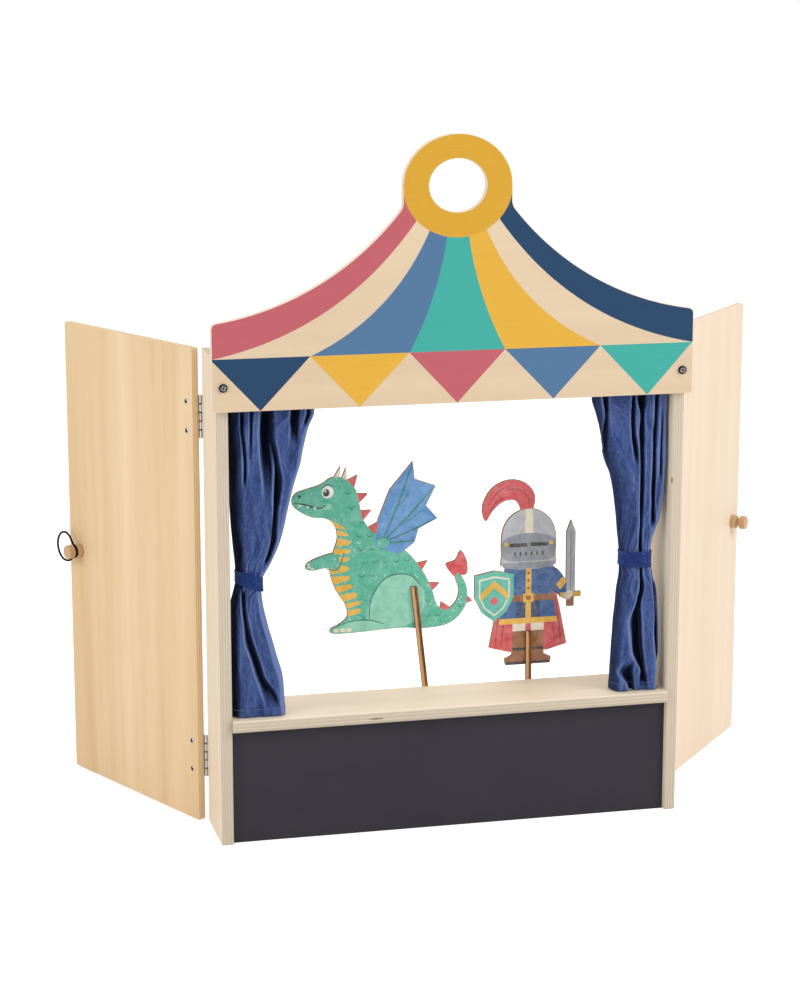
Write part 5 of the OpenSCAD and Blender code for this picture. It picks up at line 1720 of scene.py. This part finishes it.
def belly_plates():
    """Eleven bulging plates between the belly's two lines, with gaps between them."""
    outer, inner = (smooth_run(line, 8) for line in DRAGON_BELLY)
    ends = [int(k * (len(outer) - 1) / 11) for k in range(12)]
    plates = []
    for a, b in zip(ends, ends[1:]):
        middle = (inner[a] + inner[b]) / 2
        middle = middle + (middle - (outer[a] + outer[b]) / 2) * 0.12
        corners = [outer[a], outer[b], inner[b] * 0.8 + inner[a] * 0.2, middle,
                   inner[a] * 0.8 + inner[b] * 0.2]
        centre = sum(corners) / 5
        plates.append([tuple(c + (centre - c) * 0.09) for c in corners])
    return plates


def dragon_fields():
    """A generic dragon in flat colours: plated belly, folded wing, scales and a calm eye."""
    green, pale, yellow, red, blue, deep, cream, dark, white = range(len(DRAGON_TONES))
    fields = [("spike", spike(*p, 6, 9), red, None) for p in DRAGON_SPIKES]
    fields += [("horn", spike(*p, 3.5, 12), cream, None) for p in DRAGON_HORNS]
    fields += [("tip", smooth_loop(DRAGON_TAIL_TIP, 3), red, None),
               ("body", smooth_loop(DRAGON_BODY, 4), green, None)]
    fields += [("plate", plate, yellow, "body") for plate in belly_plates()]
    fields += [("haunch", smooth_loop(DRAGON_HAUNCH, 5), pale, "body"),
               *lines("line", deep, "body", 1.7, [(-12, 8), (-10, 34), (6, 56), (30, 58), (44, 44)]),
               ("foot", smooth_loop(DRAGON_FOOT, 4), pale, "body"),
               *lines("line", deep, "body", 1.4, [(-44, 8), (-30, 12), (-12, 12), (4, 7)])]
    for x in (-47, -40, -33):
        claw = [(x - 2.6, 1.2), (x - 2, 4.6), (x + 1.6, 4.8), (x + 2, 1.2)]
        fields.append(("claw", smooth_loop(claw, 3), cream, "body"))
    for row, (first, z, count) in enumerate(DRAGON_SCALES):
        for k in range(count):
            x = first + 11 * k + (row % 2) * 2
            fields += lines("scale", deep, "body", 1.1, [(x - 3, z + 1.2), (x - 1.6, z - 1.4),
                                                         (x + 1.6, z - 1.4), (x + 3, z + 1.2)])
    fields += [("paw", smooth_loop(DRAGON_PAW, 3), green, None),
               *lines("line", deep, "paw", 1.0, [(-46, 85), (-60, 83.2), (-74, 77.5)]),
               *lines("line", deep, None, 1.4, [(-38, 86), (-41, 76), (-46, 67), (-58, 69)]),
               *ovals("claw", cream, "paw", 12, (-76, 74.5, 1.9, 1.2), (-75, 71.6, 1.9, 1.2),
                      (-71.5, 69.8, 1.9, 1.2)),
               ("wing", list(DRAGON_WING), blue, None)]
    for x, z in ((33, 173), (56, 148.5), (57, 115.5), (35.5, 94)):
        middle = ((x - 2) * 0.5 + 3, (z + 92) * 0.5)
        fields += lines("rib", deep, "wing", 2.0, [(1, 93), middle, (x, z)])
    fields += [*lines("web", deep, "wing", 1.0, [(16, 128), (24, 136), (34, 148)],
                      [(24, 112), (34, 118), (46, 126)]),
               *ovals("shoulder", green, None, 20, (3, 93, 6.5, 5.5)),
               *lines("line", deep, None, 1.1, [(-3, 97), (3, 99), (9, 96)]),
               *ovals("cheek", pale, "body", 20, (-56, 134, 5, 3.4)),
               *ovals("eye", white, "body", 28, (-55, 149, 6.2, 6.6)),
               *ovals("iris", dark, "body", 24, (-56.6, 148.4, 3.4, 3.9)),
               *ovals("spark", white, "body", 12, (-57.6, 150.2, 1.1, 1.2)),
               *lines("lid", deep, "body", 1.8, [(-62, 152), (-56, 156.6), (-49, 154)]),
               *lines("mouth", dark, "body", 1.6,
                      [(-90, 139), (-80, 137.5), (-70, 134), (-62, 133), (-57, 136)]),
               *ovals("nostril", dark, "body", 14, (-84.5, 146, 1.9, 1.3))]
    for x in (-84, -76, -68.5):
        drop = (x + 84) * 0.2
        fields.append(("tooth", [(x - 1.6, 137.4 - drop), (x + 1.6, 136.8 - drop),
                                 (x, 133.6 - drop)], white, "body"))
    return fields


def knight_fields():
    """A generic knight in flat colours, with its visor down."""
    red, wine, blue, navy, yellow, grey, shade, brown, teal, cream, dark = range(len(KNIGHT_TONES))
    fields = [("cape", list(KNIGHT_CAPE), red, None),
              *lines("fold", wine, "cape", 1.6, *([(x, 20), (x * 0.93, 45), (x * 0.78, 74)]
                                                  for x in (-36, -29, 29, 36)))]
    for turn in (list, flipped):
        fields += [("boot", turn(KNIGHT_BOOT), brown, None),
                   ("sole", turn([(2, 0), (24, 0), (24.8, 3), (2, 3)]), dark, "boot"),
                   ("cuff", turn([(3, 36), (17, 36), (17, 46), (3, 46)]), cream, "boot"),
                   ("strap", turn([(3, 15), (17, 15), (17, 18), (3, 18)]), dark, "boot")]
    fields += [("tunic", list(KNIGHT_TUNIC), blue, None)]
    fields += [(key, drawn, tone, "tunic") for key, drawn, tone in (
        ("skirt", list(KNIGHT_SKIRT), navy), ("skirt", flipped(KNIGHT_SKIRT), navy),
        ("trim", block(44, 50, 34, 33), yellow), ("trim", block(50, 104, 3, 3), yellow),
        ("belt", block(68, 75, 30, 29), brown), ("buckle", block(66.8, 76.2, 5.5, 5.5), yellow),
        ("buckle", block(69.4, 73.6, 2.6, 2.6), brown))]
    for z in (82, 90, 98):
        fields += ovals("button", brown, "tunic", 14, (0, z, 1.5, 1.5))
        fields += lines("mail", navy, "tunic", 1.0, *([(x - 3, z + 2), (x, z - 0.5), (x + 3, z + 2)]
                                                      for x in (-19, -10.5, 10.5, 19)))
    fields += [("arm", smooth_loop(KNIGHT_ARM, 3), blue, None),
               *lines("line", navy, "arm", 1.2, [(20, 84), (30, 76), (36, 71)]),
               ("cuff", [(30, 84), (37, 92), (42, 87), (35, 78)], yellow, "arm"),
               ("sword", list(KNIGHT_SWORD), grey, None),
               ("blade", list(KNIGHT_BLADE), shade, "sword"),
               ("hilt", [(35, 70), (57, 70), (57, 75), (35, 75)], yellow, "sword"),
               ("grip", [(42.5, 60), (49.5, 60), (49.5, 70), (42.5, 70)], brown, "sword"),
               *ovals("glove", cream, "arm", 22, (44.5, 71.5, 6, 5)),
               ("plume", smooth_loop(KNIGHT_PLUME, 3), red, None),
               ("helmet", smooth_loop(KNIGHT_HELMET, 3), grey, None)]
    fields += [(key, drawn, tone, "helmet") for key, drawn, tone in (
        ("rim", block(103, 110, 27, 28.5), shade), ("crest", block(134, 168, 4.5, 4), cream),
        ("visor", smooth_loop(KNIGHT_VISOR, 4), shade),
        ("slit", block(126.5, 130.5, 21, 21), dark), ("visor", block(125, 132, 2, 2), shade))]
    fields += [*ovals("vent", dark, "helmet", 14, *((x, 119, 1.1, 2.6) for x in range(-15, 16, 6))),
               *ovals("stud", yellow, "helmet", 16, (-24.5, 130, 2.2, 2.2), (24.5, 130, 2.2, 2.2)),
               *lines("barb", wine, "plume", 1.5, [(0, 168), (-2, 180), (-12, 188), (-26, 188)],
                      [(-20, 193), (-34, 186), (-44, 172)]),
               *lines("barb", wine, "plume", 1.2, [(-24, 181), (-36, 175), (-44, 163)]),
               ("shield", list(KNIGHT_SHIELD), teal, None),
               ("field", scaled_about(KNIGHT_SHIELD, -37, 76, 0.8), cream, "shield"),
               ("field", scaled_about(KNIGHT_SHIELD, -37, 76, 0.72), teal, "shield"),
               ("chevron", list(KNIGHT_CHEVRON), yellow, "shield"),
               *ovals("boss", red, "shield", 24, (-37, 70, 4.2, 4.2))]
    return fields


def printed(context, name, fields, place, tones, dotted=""):
    """Lays a figure's print on its front and finishes the sawn wood. One tone may be dotted."""
    sizes, burnt = context.scene.theatre_sizes, context.scene.theatre_colours.burnt
    depth = sizes.paint_depth / MM
    moved = [(key, [(x + place[0], z + place[1]) for x, z in outline], finish, inside)
             for key, outline, finish, inside in fields]
    inks = [ink(f"{name} {tone}", linear(*rgb), 0.8 if tone == dotted else 0)
            for tone, rgb in tones.items()]
    film = coat(f"{name}_print_film", moved, on_wall(FIGURE_FRONT - depth), depth, inks)
    placed(film, f"{name}_puppet", f"{name}_print")
    finish_node(f"{name}_figure", laser_cut(f"{name} birch", burnt))
    finish_node(f"{name}_stick", scorched(f"{name} stick wood", burnt, *STICKS[name]))


class THEATRE_OT_dragon(bpy.types.Operator):
    """Prints the dragon on its sawn figure and finishes its stick"""

    bl_idname = "theatre.dragon"
    bl_label = "Dragon"

    def execute(self, context):
        printed(context, "dragon", dragon_fields(), DRAGON_AT, DRAGON_TONES, "green")
        return {"FINISHED"}


class THEATRE_OT_knight(bpy.types.Operator):
    """Prints the knight on its sawn figure and finishes its stick"""

    bl_idname = "theatre.knight"
    bl_label = "Knight"

    def execute(self, context):
        printed(context, "knight", knight_fields(), KNIGHT_AT, KNIGHT_TONES)
        return {"FINISHED"}


class THEATRE_PT_panel(bpy.types.Panel):
    """Lists the theatre's pieces and what can be changed"""

    bl_idname = "THEATRE_PT_panel"
    bl_label = "Puppet theatre"
    bl_space_type = "VIEW_3D"
    bl_region_type = "UI"
    bl_category = "Theatre"

    def draw(self, context):
        layout = self.layout
        for operator in OPERATORS:
            layout.operator(operator.bl_idname)
        for group in ("theatre_sizes", "theatre_colours", "theatre_stage"):
            values = getattr(context.scene, group)
            for key in values.__annotations__:
                layout.prop(values, key)


OPERATORS = (THEATRE_OT_stage, THEATRE_OT_elastic_loop, THEATRE_OT_box, THEATRE_OT_chalkboard,
             THEATRE_OT_pediment, THEATRE_OT_doors, THEATRE_OT_hinges, THEATRE_OT_knobs,
             THEATRE_OT_curtains, THEATRE_OT_tiebacks, THEATRE_OT_dragon, THEATRE_OT_knight)
GROUPS = {"theatre_sizes": TheatreSizes, "theatre_colours": TheatreColours,
          "theatre_stage": TheatreStage}


def register():
    for cls in (*GROUPS.values(), *OPERATORS, THEATRE_PT_panel):
        bpy.utils.register_class(cls)
    for name, group in GROUPS.items():
        setattr(bpy.types.Scene, name, PointerProperty(type=group))


def unregister():
    for name in GROUPS:
        delattr(bpy.types.Scene, name)
    for cls in (THEATRE_PT_panel, *reversed(OPERATORS), *GROUPS.values()):
        bpy.utils.unregister_class(cls)


def main():
    register()
    for operator in OPERATORS:
        piece = operator.bl_idname.split(".")[1]
        getattr(bpy.ops.theatre, piece)()


if __name__ == "__main__":
    main()
